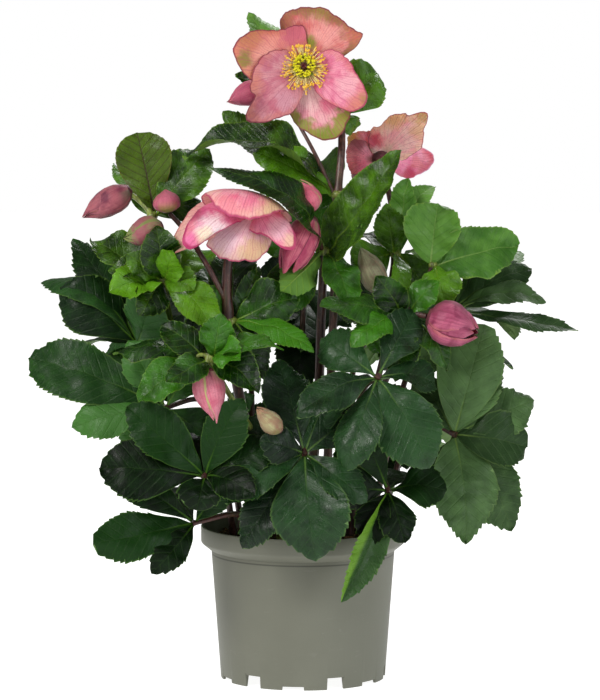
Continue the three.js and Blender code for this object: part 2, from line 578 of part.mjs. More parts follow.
const leaves = {
  leaf_rim_left: {
    foot: [-46, -22], rise: [-47, -48, 127], hub: [-78, -62, 123],
    leaflets: [
      { tip: [-150, -90, 112], face: [-0.2, -0.9, 0.4], width: 34, arch: 4 },
      { tip: [-108, -88, 90], face: [0, -1, 0.3], width: 23, arch: 5 },
      { tip: [-138, -70, 165], face: [-0.1, -0.9, 0.4], width: 28, arch: 3 },
      { tip: [-113, 22, 136], face: [-0.2, 0.2, 1], width: 32, arch: 8 },
      { tip: [-54, -78, 158], face: front, width: 24, arch: 4 },
    ],
  },
  leaf_left_low: {
    foot: [-36, -34], rise: [-48, -62, 181], hub: [-70, -90, 161],
    leaflets: [
      { tip: [-126, -92, 212], face: [0.2, -0.9, 0.4], width: 36, arch: 7 },
      { tip: [-146, -98, 169], face: [0, -0.9, 0.4], width: 46, arch: 8 },
      { tip: [-42, -102, 218], face: [-0.2, -0.9, 0.4], width: 32, arch: 5 },
      { tip: [-34, -122, 151], face: [0.1, -0.9, 0.5], width: 28, arch: 8 },
      { tip: [-75, -107, 138], face: front, width: 30, arch: 5 },
      { tip: [-118, -40, 156], face: [-0.2, -0.3, 1], width: 34, arch: 8 },
      { tip: [-89, -20, 176], face: [-0.1, 0.2, 1], width: 32, arch: 8 },
      { tip: [-18, -96, 184], face: front, width: 30, arch: 6 },
      { tip: [-96, -70, 192], face: front, width: 32, arch: 6 },
    ],
  },
  leaf_left_mid: {
    foot: [-50, -6], rise: [-71, -34, 207], hub: [-99, -58, 206],
    leaflets: [
      { tip: [-199, -34, 239], face: [0, -0.85, 0.5], width: 44, arch: 11 },
      { tip: [-188, -18, 244], face: [0.1, -0.9, 0.4], width: 26, arch: 4 },
      { tip: [-166, -62, 192], face: [0, -0.85, 0.55], width: 34, arch: 8 },
      { tip: [-142, 6, 239], face: [-0.2, -0.3, 1], width: 32, arch: 8 },
      { tip: [-156, 10, 186], face: [-0.3, 0, 1], width: 34, arch: 9 },
      { tip: [-120, 28, 177], face: [-0.2, 0.3, 1], width: 34, arch: 9 },
      { tip: [-61, -44, 179], face: front, width: 34, arch: 5 },
      { tip: [-126, -50, 254], face: front, width: 32, arch: 6 },
      { tip: [-70, -40, 244], face: front, width: 32, arch: 6 },
      { tip: [-128, -56, 166], face: front, width: 32, arch: 7 },
    ],
  },
  leaf_left_high: {
    foot: [-44, 16], rise: [-75, -8, 240], hub: [-120, -28, 249],
    leaflets: [
      { tip: [-178, -26, 291], face: [0.1, -0.9, 0.4], width: 46, arch: 6 },
      { tip: [-169, 4, 321], face: [0.3, -0.9, 0.3], width: 30, arch: 6 },
      { tip: [-193, 6, 292], face: [0, -0.5, 0.9], width: 28, arch: 23 },
      { tip: [-108, -56, 290], face: front, width: 36, arch: 6 },
      { tip: [-172, 30, 234], face: [-0.3, 0, 1], width: 34, arch: 9 },
      { tip: [-136, 56, 271], face: [-0.2, 0.3, 1], width: 34, arch: 9 },
      { tip: [-83, 24, 274], face: [0.1, 0.1, 1], width: 34, arch: 9 },
      { tip: [-82, -14, 211], face: front, width: 36, arch: 6 },
    ],
  },
  leaf_front: {
    foot: [6, -44], rise: [-2, -64, 203], hub: [1, -88, 177],
    leaflets: [
      { tip: [9, -116, 103], face: [0, -0.95, 0.3], width: 56, arch: 12 },
      { tip: [-56, -112, 145], face: [0, -0.8, 0.6], width: 36, arch: 8 },
      { tip: [-45, -104, 111], face: [-0.1, -0.9, 0.4], width: 32, arch: 7 },
      { tip: [-31, -106, 189], face: front, width: 26, arch: 5 },
      { tip: [45, -104, 144], face: [0.1, -0.9, 0.5], width: 32, arch: 8 },
      { tip: [-18, -64, 242], face: front, width: 38, arch: 5 },
      { tip: [19, -58, 230], face: front, width: 34, arch: 5 },
      { tip: [-46, -72, 196], face: front, width: 32, arch: 6 },
      { tip: [44, -62, 206], face: front, width: 32, arch: 6 },
      { tip: [-22, -92, 128], face: front, width: 32, arch: 6 },
    ],
  },
  leaf_rim_right: {
    foot: [40, -34], rise: [50, -50, 172], hub: [61, -72, 148],
    leaflets: [
      { tip: [72, -90, 113], face: front, width: 28, arch: 6 },
      { tip: [103, -78, 149], face: [0.1, -0.7, 0.7], width: 38, arch: 6 },
      { tip: [35, -80, 211], face: front, width: 28, arch: 5 },
      { tip: [27, -108, 73], face: [0.5, -0.8, 0.2], width: 24, arch: 6, fold: 0.5 },
      { tip: [84, -12, 145], face: [0.2, 0.2, 1], width: 30, arch: 8 },
      { tip: [45, -94, 111], face: front, width: 26, arch: 5 },
      { tip: [24, -74, 150], face: front, width: 30, arch: 6 },
    ],
  },
  leaf_right_front: {
    foot: [26, -42], rise: [42, -62, 217], hub: [53, -82, 231],
    leaflets: [
      { tip: [90, -106, 168], face: [0, -0.9, 0.4], width: 48, arch: 8 },
      { tip: [-6, -108, 207], face: [0, -0.7, 0.7], width: 30, arch: 8 },
      { tip: [29, -116, 169], face: [-0.1, -0.9, 0.4], width: 34, arch: 7 },
      { tip: [98, -66, 223], face: [0.2, -0.5, 0.9], width: 28, arch: 7 },
      { tip: [70, -54, 180], face: front, width: 36, arch: 5 },
      { tip: [20, -24, 205], face: [0, -0.5, 0.9], width: 34, arch: 7 },
      { tip: [12, -52, 258], face: front, width: 32, arch: 6 },
      { tip: [80, -50, 276], face: front, width: 32, arch: 6 },
    ],
  },
  leaf_right_low: {
    foot: [54, -10], rise: [85, -16, 190], hub: [110, -30, 183],
    leaflets: [
      { tip: [131, -30, 264], face: front, width: 47, arch: 5 },
      { tip: [165, -30, 174], face: [0.1, -0.9, 0.4], width: 42, arch: 7 },
      { tip: [168, -14, 206], face: [0.1, -0.9, 0.4], width: 36, arch: 6 },
      { tip: [118, -62, 107], face: front, width: 50, arch: 9 },
      { tip: [154, -34, 112], face: [0.1, -0.95, 0.3], width: 44, arch: 8 },
      { tip: [85, -24, 132], face: front, width: 34, arch: 6 },
      { tip: [150, 48, 189], face: [0.3, 0.1, 1], width: 36, arch: 8 },
      { tip: [117, 54, 166], face: [0.1, 0.3, 1], width: 36, arch: 8 },
      { tip: [84, -4, 222], face: front, width: 34, arch: 6 },
      { tip: [140, -10, 236], face: front, width: 32, arch: 6 },
    ],
  },
  leaf_right_high: {
    foot: [48, 18], rise: [86, 8, 246], hub: [109, 6, 270],
    leaflets: [
      { tip: [167, 14, 299], face: [-0.1, -0.8, 0.6], width: 38, arch: 7 },
      { tip: [179, 0, 278], face: [0, -0.7, 0.7], width: 22, arch: 12 },
      { tip: [201, -8, 258], face: [0, -0.5, 0.9], width: 18, arch: 0 },
      { tip: [162, 52, 311], face: [0, -0.5, 0.9], width: 34, arch: 8 },
      { tip: [162, 66, 247], face: [0.2, 0.2, 1], width: 34, arch: 9 },
      { tip: [126, 92, 259], face: [0.1, 0.4, 0.9], width: 34, arch: 9 },
      { tip: [88, 70, 247], face: [-0.1, 0.3, 1], width: 34, arch: 9 },
      { tip: [85, -12, 224], face: front, width: 34, arch: 6 },
      { tip: [76, -20, 262], face: front, width: 32, arch: 6 },
    ],
  },
  leaf_back_left: backLeaf([-38, 36], [-78, 70, 262], 142, [
    [-110, 20, 268], [-72, 14, 232], [-96, 18, 300],
  ]),
  leaf_back: backLeaf([0, 46], [4, 98, 276], 92, [
    [-42, 34, 252], [-2, 30, 238], [36, 34, 256], [-30, 30, 296],
    [-6, 8, 204],
  ]),
  leaf_back_right: backLeaf([36, 38], [84, 72, 250], 40, [
    [62, 20, 226], [72, 26, 282], [110, 24, 296],
  ]),
  leaf_back_low_left: backLeaf([-28, 56], [-52, 92, 168], 122, [
    [-80, 32, 186], [-30, 28, 150], [-58, 34, 124], [-14, 34, 186],
    [-36, 20, 206],
  ]),
  leaf_back_low_right: backLeaf([28, 58], [50, 94, 172], 62, [
    [20, 30, 196], [66, 30, 140], [34, 30, 134], [78, 34, 204],
  ]),
};

// A leaf on the far side, whose leaflets fan out round a direction given in degrees from +X, with a
// few more that reach in among the stems.
function backLeaf(foot, hub, azimuth, innerTips) {
  const fan = {
    count: 7,
    spread: 250, // degrees
    length: 80, // of the middle leaflet
    width: 36,
    shorter: 0.5, // share of the length lost half a fan away from the middle, times two
    narrower: 0.25, // the same for the width
    droop: 0.42, // fall of a tip, as a share of its leaflet's length
    lowerDroop: 0.54, // the same for every second leaflet
    lean: 0.4, // how far the upper sides look outward
    innerWidth: 36,
    innerArch: 6,
  };
  const leaflets = Array.from({ length: fan.count }, (_, i) => {
    const turn = i / (fan.count - 1) - 0.5; // -0.5 to 0.5 across the fan
    const angle = THREE.MathUtils.degToRad(azimuth + turn * fan.spread);
    const length = fan.length * (1 - fan.shorter * Math.abs(turn));
    const [dx, dy] = [Math.cos(angle), Math.sin(angle)];
    const fall = length * (i % 2 ? fan.lowerDroop : fan.droop);
    return {
      tip: [hub[0] + dx * length, hub[1] + dy * length, hub[2] - fall],
      face: [fan.lean * dx, fan.lean * dy, 1],
      width: fan.width * (1 - fan.narrower * Math.abs(turn)),
      arch: 8,
    };
  });
  const { innerWidth: width, innerArch: arch } = fan;
  for (const tip of innerTips) leaflets.push({ tip, face: front, width, arch });
  const rise = [foot[0] * 1.2, foot[1] * 1.1, hub[2] - 12]; // the petiole leans out, and bends over there
  return { foot, rise, hub, leaflets };
}

function leafSolid({ foot, rise, hub, leaflets }, grow = 0) {
  const path = [standing(foot), rise, stepOut(hub, rise, -hubBeyond)];
  const petiole = tube(path, petioleRadius, grow, stalkSides);
  const blades = leaflets.map((leaflet) => bladeSolid({
    base: stepOut(hub, leaflet.tip, hubReach), thickness: leafThickness, form: leafletForm, ...leaflet,
  }, grow));
  return union([petiole, ...blades]);
}

// ---- Assembly ----
//
// Pieces are made in order, and each is trimmed back from those that it would otherwise touch, so that
// neighbours keep their clearance.

const plant = new THREE.Group();
const placed = [];

function place(name, look, build) {
  let solid = build(0);
  const box = solid.boundingBox();
  for (const other of placed) {
    if (!boxesMeet(box, other.box)) continue;
    solid = solid.subtract(other.grown);
  }
  solid = largestBody(solid);
  const grown = build(clearance);
  placed.push({ name, grown, box: grown.boundingBox() });
  const material = new THREE.MeshStandardMaterial({ ...look, metalness: 0 });
  const mesh = new THREE.Mesh(toGeometry(solid), material);
  mesh.name = name;
  plant.add(mesh);
}

function boxesMeet(a, b) {
  return [0, 1, 2].every((k) => a.min[k] < b.max[k] && b.min[k] < a.max[k]);
}

place('grower_pot', paint.pot, potSolid);
place('potting_soil', paint.soil, soilSolid);
for (const [name, stem] of Object.entries(stems)) {
  place(name, stem.look, (grow) => stemSolid(stem, grow));
}
for (const [name, flower] of Object.entries(flowers)) {
  place(`${name}_centre`, paint.centre, (grow) => centreSolid(flower, grow));
  for (const [side, petal] of Object.entries(flower.petals)) {
    place(`${name}_petal_${side}`, paint.petal, (grow) => bladeSolid(petalRow(flower, petal), grow));
  }
}
for (const [name, bud] of Object.entries(buds)) place(name, paint.bud, (grow) => budSolid(bud, grow));
for (const [name, whorl] of Object.entries(whorls)) {
  place(name, paint.bract, (grow) => whorlSolid(whorl, grow));
}
for (const [name, leaf] of Object.entries(leaves)) place(name, paint.leaf, (grow) => leafSolid(leaf, grow));

export default plant;
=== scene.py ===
import math
import random

import bpy
import numpy as np
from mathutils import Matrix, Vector


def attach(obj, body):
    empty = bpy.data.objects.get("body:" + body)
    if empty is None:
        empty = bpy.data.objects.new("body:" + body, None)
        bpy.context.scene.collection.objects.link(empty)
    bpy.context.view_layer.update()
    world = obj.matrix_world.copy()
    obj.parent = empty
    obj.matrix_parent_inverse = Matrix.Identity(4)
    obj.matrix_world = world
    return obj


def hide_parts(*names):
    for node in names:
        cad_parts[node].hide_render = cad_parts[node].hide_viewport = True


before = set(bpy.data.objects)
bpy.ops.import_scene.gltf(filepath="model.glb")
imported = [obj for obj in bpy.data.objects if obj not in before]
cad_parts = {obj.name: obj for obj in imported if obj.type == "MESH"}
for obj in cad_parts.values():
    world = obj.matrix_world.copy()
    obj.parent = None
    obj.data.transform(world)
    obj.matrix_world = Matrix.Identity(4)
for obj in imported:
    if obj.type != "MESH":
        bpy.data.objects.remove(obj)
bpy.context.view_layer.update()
print("frame loaded:", len(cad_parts), "CAD nodes")

metre = 0.001  # one millimetre


# camera, floor and light

view = dict(
    place=(-2.2, -3000, 570),
    target=(-2.2, 0, 241.5),
    lens=212, sensorWidth=36,
    farthest=40,  # metres that the camera sees into the distance
)
studio = dict(
    floorSize=9000,
    floorColour=(0.4, 0.4, 0.395, 1),
    floorGlow=0.9,
    background=1.0,  # how bright the backdrop looks
    skyTop=0.34,  # light from straight above
    skyLow=0.08,  # light from below the horizon
)
lampTarget = (0, 0, 260)  # the middle of the plant
lamps = {  # place, size and power of each soft box
    "keyLight": dict(place=(-1500, -1500, 1750), size=1000, power=47, colour=(1, 0.985, 0.96)),
    "fillLight": dict(place=(1700, -1700, 900), size=1100, power=17, colour=(0.93, 0.97, 1)),
    "backLight": dict(place=(500, 1300, 1600), size=800, power=16, colour=(1, 1, 1)),
}


def aimAt(thing, target):
    thing.rotation_euler = (Vector(target) * metre - thing.location).to_track_quat("-Z", "Y").to_euler()


def addCamera():
    data = bpy.data.cameras.new("mainCamera")
    data.lens = view["lens"]
    data.sensor_width = view["sensorWidth"]
    data.clip_end = view["farthest"]
    camera = bpy.data.objects.new("mainCamera", data)
    camera.location = Vector(view["place"]) * metre
    aimAt(camera, view["target"])
    bpy.context.scene.collection.objects.link(camera)
    bpy.context.scene.camera = camera


def addLamps():
    for name, lamp in lamps.items():
        data = bpy.data.lights.new(name, "AREA")
        data.size = lamp["size"] * metre
        data.energy = lamp["power"]
        data.color = lamp["colour"]
        light = bpy.data.objects.new(name, data)
        light.location = Vector(lamp["place"]) * metre
        aimAt(light, lampTarget)
        bpy.context.scene.collection.objects.link(light)


# small helpers for node trees


def newMaterial(name, **shaderValues):
    material = bpy.data.materials.new(name)
    material.use_nodes = True
    shader = material.node_tree.nodes["Principled BSDF"]
    for socket, value in shaderValues.items():
        shader.inputs[socket.replace("_", " ")].default_value = value
    return material, material.node_tree, shader


def put(tree, kind, inputs=None, **settings):
    # adds a node; an input is a number, a colour or another node's socket
    node = tree.nodes.new(kind)
    for key, value in settings.items():
        setattr(node, key, value)
    for key, value in (inputs or {}).items():
        if isinstance(value, bpy.types.NodeSocket):
            tree.links.new(value, node.inputs[key])
        else:
            node.inputs[key].default_value = value
    return node


def maths(tree, operation, first, second=0.5):
    return put(tree, "ShaderNodeMath", {0: first, 1: second}, operation=operation).outputs[0]


def fade(tree, value, low, high, start=0.0, end=1.0):
    # a soft step from start to end as value goes from low to high
    inputs = {"Value": value, "From Min": low, "From Max": high, "To Min": start, "To Max": end}
    return put(tree, "ShaderNodeMapRange", inputs, interpolation_type="SMOOTHSTEP").outputs[0]


def mixed(tree, factor, first, second):
    node = put(tree, "ShaderNodeMix", {0: factor, 6: first, 7: second}, data_type="RGBA")
    return node.outputs[2]


def noise(tree, place, scale, detail=3.0, distortion=0.0):
    inputs = {"Vector": place, "Scale": scale, "Detail": detail, "Distortion": distortion}
    return put(tree, "ShaderNodeTexNoise", inputs).outputs["Fac"]


def uvOf(tree, name):
    # the two numbers that each point of a surface carries under this name
    uv = put(tree, "ShaderNodeUVMap", uv_map=name).outputs["UV"]
    parts = put(tree, "ShaderNodeSeparateXYZ", {0: uv}).outputs
    return parts["X"], parts["Y"]


def ownPlace(tree):
    return put(tree, "ShaderNodeTexCoord").outputs["Object"]


def stretched(tree, place, scales):
    return put(tree, "ShaderNodeVectorMath", {0: place, 1: scales}, operation="MULTIPLY").outputs[0]


def addBump(tree, shader, height, strength, distance):
    inputs = {"Height": height, "Strength": strength, "Distance": distance * metre}
    tree.links.new(put(tree, "ShaderNodeBump", inputs).outputs[0], shader.inputs["Normal"])


def srgb(red, green, blue):
    # a screen colour, 0 to 255, as the linear colour that a shader takes
    channels = [((c / 255 + 0.055) / 1.055) ** 2.4 if c > 10 else c / 3294.6 for c in (red, green, blue)]
    return (*channels, 1.0)


def addFloor():
    half = studio["floorSize"] / 2 * metre
    mesh = bpy.data.meshes.new("studioFloor")
    corners = [(-half, -half, 0), (half, -half, 0), (half, half, 0), (-half, half, 0)]
    mesh.from_pydata(corners, [], [(0, 1, 2, 3)])
    floor = bpy.data.objects.new("studioFloor", mesh)
    bpy.context.scene.collection.objects.link(floor)
    material, _, shader = newMaterial("floorPaper", Roughness=0.9, Emission_Strength=studio["floorGlow"])
    shader.inputs["Base Color"].default_value = studio["floorColour"]
    shader.inputs["Emission Color"].default_value = (1, 1, 1, 1)
    mesh.materials.append(material)


def addSky():
    # the camera sees plain white; the plant is lit by a sky that is brighter above than below
    world = bpy.data.worlds.new("studioSky")
    bpy.context.scene.world = world
    world.use_nodes = True
    tree = world.node_tree
    tree.nodes.clear()
    direction = put(tree, "ShaderNodeTexCoord").outputs["Generated"]
    height = put(tree, "ShaderNodeSeparateXYZ", {0: direction}).outputs["Z"]
    level = fade(tree, height, -0.4, 0.9, studio["skyLow"], studio["skyTop"])
    lit = put(tree, "ShaderNodeBackground", {"Color": (1, 1, 1, 1), "Strength": level})
    seen = put(tree, "ShaderNodeBackground", {"Color": (1, 1, 1, 1), "Strength": studio["background"]})
    which = put(tree, "ShaderNodeLightPath").outputs["Is Camera Ray"]
    both = put(tree, "ShaderNodeMixShader", {0: which, 1: lit.outputs[0], 2: seen.outputs[0]})
    put(tree, "ShaderNodeOutputWorld", {"Surface": both.outputs[0]})


addCamera()
addLamps()
addFloor()
addSky()
bpy.context.scene.view_settings.view_transform = "Standard"
print("studio ready")


# meshes: every piece is made of closed parts, each a set of points and faces


def unit(vectors):
    vectors = np.asarray(vectors, float)
    return vectors / np.linalg.norm(vectors, axis=-1, keepdims=True)


def squared(vectors, axis):
    # the part of each vector that is square to the axis, at length one
    vectors = np.asarray(vectors, float)
    along = np.sum(vectors * axis, axis=-1, keepdims=True)
    return unit(vectors - along * axis)


def newPart(points, faces, real=None, share=None, slots=0):
    # real is each point's place on its surface in centimetres, share the same place from 0 to 1
    points = np.asarray(points, float).reshape(-1, 3)
    empty = np.zeros((len(points), 2))
    if isinstance(slots, int):
        slots = [slots] * len(faces)
    return dict(
        points=points, faces=faces, slots=slots,
        real=empty if real is None else real.reshape(-1, 2),
        share=empty if share is None else share.reshape(-1, 2),
    )


def sheetPart(middle, normals, thickness, real, share, slots=(0, 1)):
    # a closed skin round a curved sheet; the upper and under side meet all along its border
    rows, columns = middle.shape[:2]
    upper = np.arange(rows * columns).reshape(rows, columns)
    under = upper.copy()
    inner = (rows - 2) * (columns - 2)
    under[1:-1, 1:-1] = rows * columns + np.arange(inner).reshape(rows - 2, columns - 2)
    raised = middle.copy()
    raised[1:-1, 1:-1] += (normals * thickness[..., None] / 2)[1:-1, 1:-1]
    lowered = (middle - normals * thickness[..., None] / 2)[1:-1, 1:-1]

    def quads(index, flip):
        corners = [index[:-1, :-1], index[1:, :-1], index[1:, 1:], index[:-1, 1:]]
        if flip:
            corners.reverse()
        return np.stack(corners, axis=-1).reshape(-1, 4)

    faces = np.concatenate([quads(upper, False), quads(under, True)]).tolist()
    count = (rows - 1) * (columns - 1)
    points = np.concatenate([raised.reshape(-1, 3), lowered.reshape(-1, 3)])
    both = [np.concatenate([uv.reshape(-1, 2), uv[1:-1, 1:-1].reshape(-1, 2)]) for uv in (real, share)]
    return newPart(points, faces, *both, slots=[slots[0]] * count + [slots[1]] * count)


def curvePoints(points, step):
    # a centripetal Catmull-Rom curve through the points, one point every step
    points = np.asarray(points, float)
    if len(points) == 2:
        count = max(2, round(np.linalg.norm(points[1] - points[0]) / step) + 1)
        return np.linspace(points[0], points[1], count)
    ends = [2 * points[0] - points[1], *points, 2 * points[-1] - points[-2]]
    found = []
    for i in range(len(points) - 1):
        four = ends[i:i + 4]
        spans = list(zip(four, four[1:]))
        knots = np.cumsum([0] + [max(np.linalg.norm(b - a) ** 0.5, 1e-3) for a, b in spans])
        count = max(2, round(np.linalg.norm(four[2] - four[1]) / step))
        t = np.linspace(knots[1], knots[2], count, endpoint=False)[:, None]

        def between(a, b, ta, tb):
            return (tb - t) / (tb - ta) * a + (t - ta) / (tb - ta) * b

        a1, a2, a3 = (between(a, b, knots[k], knots[k + 1]) for k, (a, b) in enumerate(spans))
        b1, b2 = between(a1, a2, knots[0], knots[2]), between(a2, a3, knots[1], knots[3])
        found.append(between(b1, b2, knots[1], knots[2]))
    return np.concatenate([*found, points[-1:]])


def pathFrames(path):
    # directions along a path, and two square to it that turn as little as they can
    along = unit(np.gradient(path, axis=0))
    sideways = [squared(np.array([0.9, 0.1, 0.2]), along[0])]
    for direction in along[1:]:
        sideways.append(squared(sideways[-1], direction))
    sideways = np.array(sideways)
    return along, sideways, np.cross(along, sideways)


def tubePart(path, radii, sides=10, ribs=0, ribDepth=0.0, flat=1.0, slot=0, seed=0.0):
    # a closed tube; radii has one number for each point of the path, flat squeezes it one way
    along, sideways, other = pathFrames(path)
    turns = np.linspace(0, 2 * math.pi, sides, endpoint=False)
    swell = 1 + ribDepth * np.cos(ribs * turns + seed)
    across = (np.cos(turns) * swell)[None, :, None] * sideways[:, None]
    across = across + (np.sin(turns) * swell * flat)[None, :, None] * other[:, None]
    points = path[:, None] + across * np.asarray(radii)[:, None, None]
    rows = len(path)
    index = np.arange(rows * sides).reshape(rows, sides)
    after = np.roll(index, -1, axis=1)
    walls = np.stack([index[:-1], after[:-1], after[1:], index[1:]], axis=-1).reshape(-1, 4).tolist()
    faces = walls + [index[0, ::-1].tolist(), index[-1].tolist()]
    length = np.concatenate([[0], np.cumsum(np.linalg.norm(np.diff(path, axis=0), axis=1))])
    real = np.stack([np.repeat(length / 10, sides) + seed, np.tile(turns, rows)], axis=-1)
    share = np.stack([np.repeat(length / length[-1], sides), np.tile(turns, rows)], axis=-1)
    return newPart(points, faces, real, share, slot)


def partsMesh(name, parts):
    starts = np.cumsum([0] + [len(part["points"]) for part in parts[:-1]])
    points = np.concatenate([part["points"] for part in parts]) * metre
    faces = [tuple(i + start for i in face) for start, part in zip(starts, parts) for face in part["faces"]]
    mesh = bpy.data.meshes.new(name)
    mesh.from_pydata(points.tolist(), [], faces)
    return mesh


def addPiece(name, parts, materials, standsFor, sharpAngle=70):
    # one object from its parts, which stands for one node of the CAD model
    mesh = partsMesh(name, parts)
    corners = np.empty(len(mesh.loops), np.int32)
    mesh.loops.foreach_get("vertex_index", corners)
    for key in ("real", "share"):
        numbers = np.concatenate([part[key] for part in parts])
        layer = mesh.uv_layers.new(name=key)
        layer.data.foreach_set("uv", numbers[corners].astype(np.float32).ravel())
    for material in materials:
        mesh.materials.append(material)
    mesh.polygons.foreach_set("material_index", [slot for part in parts for slot in part["slots"]])
    mesh.polygons.foreach_set("use_smooth", [True] * len(mesh.polygons))
    mesh.set_sharp_from_angle(angle=math.radians(sharpAngle))
    mesh.update()
    piece = bpy.data.objects.new(name, mesh)
    bpy.context.scene.collection.objects.link(piece)
    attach(piece, "root")
    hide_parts(standsFor)
    return piece


# the pot: a thin moulded wall on a castellated foot

pot = dict(
    footRadius=60.5, bodyRadius=67.5, rimRadius=75, height=112.5,
    bandHeight=12,  # upright part of the rim band
    chamfer=5,  # slope under the band
    wall=1.6,
    floorHeight=9,
    padRadius=16,  # pad under the middle of the floor
    slots=6, slotHeight=8.5, slotWidth=13, notchHeight=2.6, notchWidth=16,
    firstSlot=-37,  # degrees from the front towards +X
    drainHole=5, drainCircle=37.5,
    edgeRound=0.7,  # rounding of the rim and the band's corners
    groove=0.35,  # depth of the fine line under the band
    grooveShadeBelow=3.4,  # from the slope under the band down to the dark line of painted groove shade
    segments=144, slotSide=0.12,  # degrees that the two lines of a slot's side stand from its edge
)
# the last colour is painted shade: a dark line for the groove under the band
potColour = dict(
    body=srgb(104, 105, 92), lighter=srgb(112, 113, 100), scuff=srgb(130, 130, 120), grooveShadeLine=srgb(58, 58, 50),
)


def potMaterial():
    material, tree, shader = newMaterial("potPlastic", Roughness=0.5, Specular_IOR_Level=0.4)
    place = ownPlace(tree)
    clouds = noise(tree, place, 14, 4)
    grain = noise(tree, place, 900, 2)
    rubbed = fade(tree, noise(tree, stretched(tree, place, (60, 60, 320)), 1, 5, 1.5), 0.62, 0.8, 0, 0.35)
    body = mixed(tree, fade(tree, clouds, 0.35, 0.7), potColour["body"], potColour["lighter"])
    colour = mixed(tree, rubbed, body, potColour["scuff"])
    height = put(tree, "ShaderNodeSeparateXYZ", {0: place}).outputs["Z"]
    # a thin dark line painted round the pot under the band: painted shade of the groove line
    grooveShadeLine = (pot["height"] - pot["bandHeight"] - pot["chamfer"] - pot["grooveShadeBelow"]) * metre
    above = fade(tree, height, grooveShadeLine - 0.8 * metre, grooveShadeLine - 0.3 * metre)
    below = fade(tree, height, grooveShadeLine + 0.3 * metre, grooveShadeLine + 0.8 * metre, 0.75, 0)
    colour = mixed(tree, maths(tree, "MULTIPLY", above, below), colour, potColour["grooveShadeLine"])
    tree.links.new(colour, shader.inputs["Base Color"])
    tree.links.new(fade(tree, clouds, 0.3, 0.7, 0.44, 0.6), shader.inputs["Roughness"])
    addBump(tree, shader, maths(tree, "ADD", grain, maths(tree, "MULTIPLY", clouds, 2.0)), 0.25, 0.3)
    return material


def footLift(angle):
    # how far the foot's lower edge is raised at an angle in degrees from the front towards +X
    half = 180 / pot["slots"]
    across = math.radians(pot["footRadius"])  # millimetres round the foot to a degree
    toSlot = abs((angle - pot["firstSlot"] + half) % (2 * half) - half) * across
    toNotch = abs((angle - pot["firstSlot"]) % (2 * half) - half) * across
    if toSlot < pot["slotWidth"] / 2:
        return pot["slotHeight"]
    return pot["notchHeight"] if toNotch < pot["notchWidth"] / 2 else 0.0


def potAngles():
    # even steps, with a close pair at each side of every slot and notch so that their sides are upright
    across = math.radians(pot["footRadius"])
    angles = list(np.arange(0, 360, 360 / pot["segments"]))
    for i in range(pot["slots"]):
        slot = pot["firstSlot"] + i * 360 / pot["slots"]
        for middle, width in ((slot, pot["slotWidth"]), (slot + 180 / pot["slots"], pot["notchWidth"])):
            for edge in (-1, 1):
                for nudge in (-pot["slotSide"], pot["slotSide"]):
                    angles.append((middle + edge * width / 2 / across + nudge) % 360)
    return sorted(angles)


def potProfile():
    # radius and height from the foot's outer edge up the outside, over the rim and down the inside
    bandFoot = pot["height"] - pot["bandHeight"]
    slopeFoot = bandFoot - pot["chamfer"]
    body, rim, top, r = pot["bodyRadius"], pot["rimRadius"], pot["height"], pot["edgeRound"]
    wall, line = pot["wall"], pot["groove"]

    def taper(z):
        return pot["footRadius"] + (body - pot["footRadius"]) * z / slopeFoot

    outside = [(taper(z), z) for z in (0, 0.8, 10, 30, 50, 70, 85)]
    outside += [(taper(slopeFoot - 3), slopeFoot - 3)]
    outside += [(body - line, slopeFoot - 1.6), (body - line, slopeFoot - 0.8)]
    outside += [(body + 1.1, slopeFoot - 0.3), (body + 1.7, slopeFoot + 0.2)]
    outside += [(rim - r, bandFoot - r), (rim - 0.2, bandFoot), (rim, bandFoot + r), (rim, bandFoot + 6)]
    lip = [(rim, top - r), (rim - 0.3 * r, top - 0.3 * r), (rim - r, top)]
    lip += [(rim - wall + 0.3, top), (rim - wall, top - 0.3)]
    inside = [(rim - wall, bandFoot + 1), (body - wall, slopeFoot - 1), (taper(50) - wall, 50)]
    bottom = pot["floorHeight"] + wall
    inside += [(taper(bottom) - wall, bottom), (0, bottom)]
    return outside, lip + inside


def potPart():
    outside, rest = potProfile()
    foot, wall, floor, pad = pot["footRadius"], pot["wall"], pot["floorHeight"], pot["padRadius"]
    below = [(0, 0), (pad, 0), (pad, floor), (foot - 2 * wall, floor), (foot - wall, 0)]
    profile = below + outside + rest
    # the two lower edges of the foot ring, and the line above them, follow the slots
    lifts = {len(below) - 1: 0, len(below): 0, len(below) + 1: 0.2}
    angles = potAngles()
    points, rings = [], []
    for k, (radius, z) in enumerate(profile):
        if radius == 0:
            rings.append([len(points)] * len(angles))
            points.append((0, 0, z))
            continue
        rings.append(list(range(len(points), len(points) + len(angles))))
        for angle in angles:
            turn = math.radians(angle)
            height = max(z, footLift(angle) + lifts[k]) if k in lifts else z
            points.append((radius * math.sin(turn), -radius * math.cos(turn), height))
    faces = []
    for lower, upper in zip(rings, rings[1:]):
        for i in range(len(angles)):
            j = (i + 1) % len(angles)
            faces.append(list(dict.fromkeys([lower[i], lower[j], upper[j], upper[i]])))
    return newPart(points, faces)


def cutDrains(piece):
    # round holes through the floor, between the pad and the foot
    parts = []
    for i in range(pot["slots"]):
        turn = math.radians(pot["firstSlot"] + (i + 0.5) * 360 / pot["slots"])
        x, y = pot["drainCircle"] * math.sin(turn), -pot["drainCircle"] * math.cos(turn)
        ends = (pot["floorHeight"] - 4, pot["floorHeight"] + pot["wall"] + 4)
        path = np.array([(x, y, z) for z in ends], float)
        parts.append(tubePart(path, [pot["drainHole"]] * 2, sides=24))
    tool = bpy.data.objects.new("drainCutters", partsMesh("drainCutters", parts))
    bpy.context.scene.collection.objects.link(tool)
    cut = piece.modifiers.new("drains", "BOOLEAN")
    cut.operation = "DIFFERENCE"
    cut.object = tool
    piece.data = bpy.data.meshes.new_from_object(piece.evaluated_get(bpy.context.evaluated_depsgraph_get()))
    piece.modifiers.clear()
    bpy.data.objects.remove(tool)


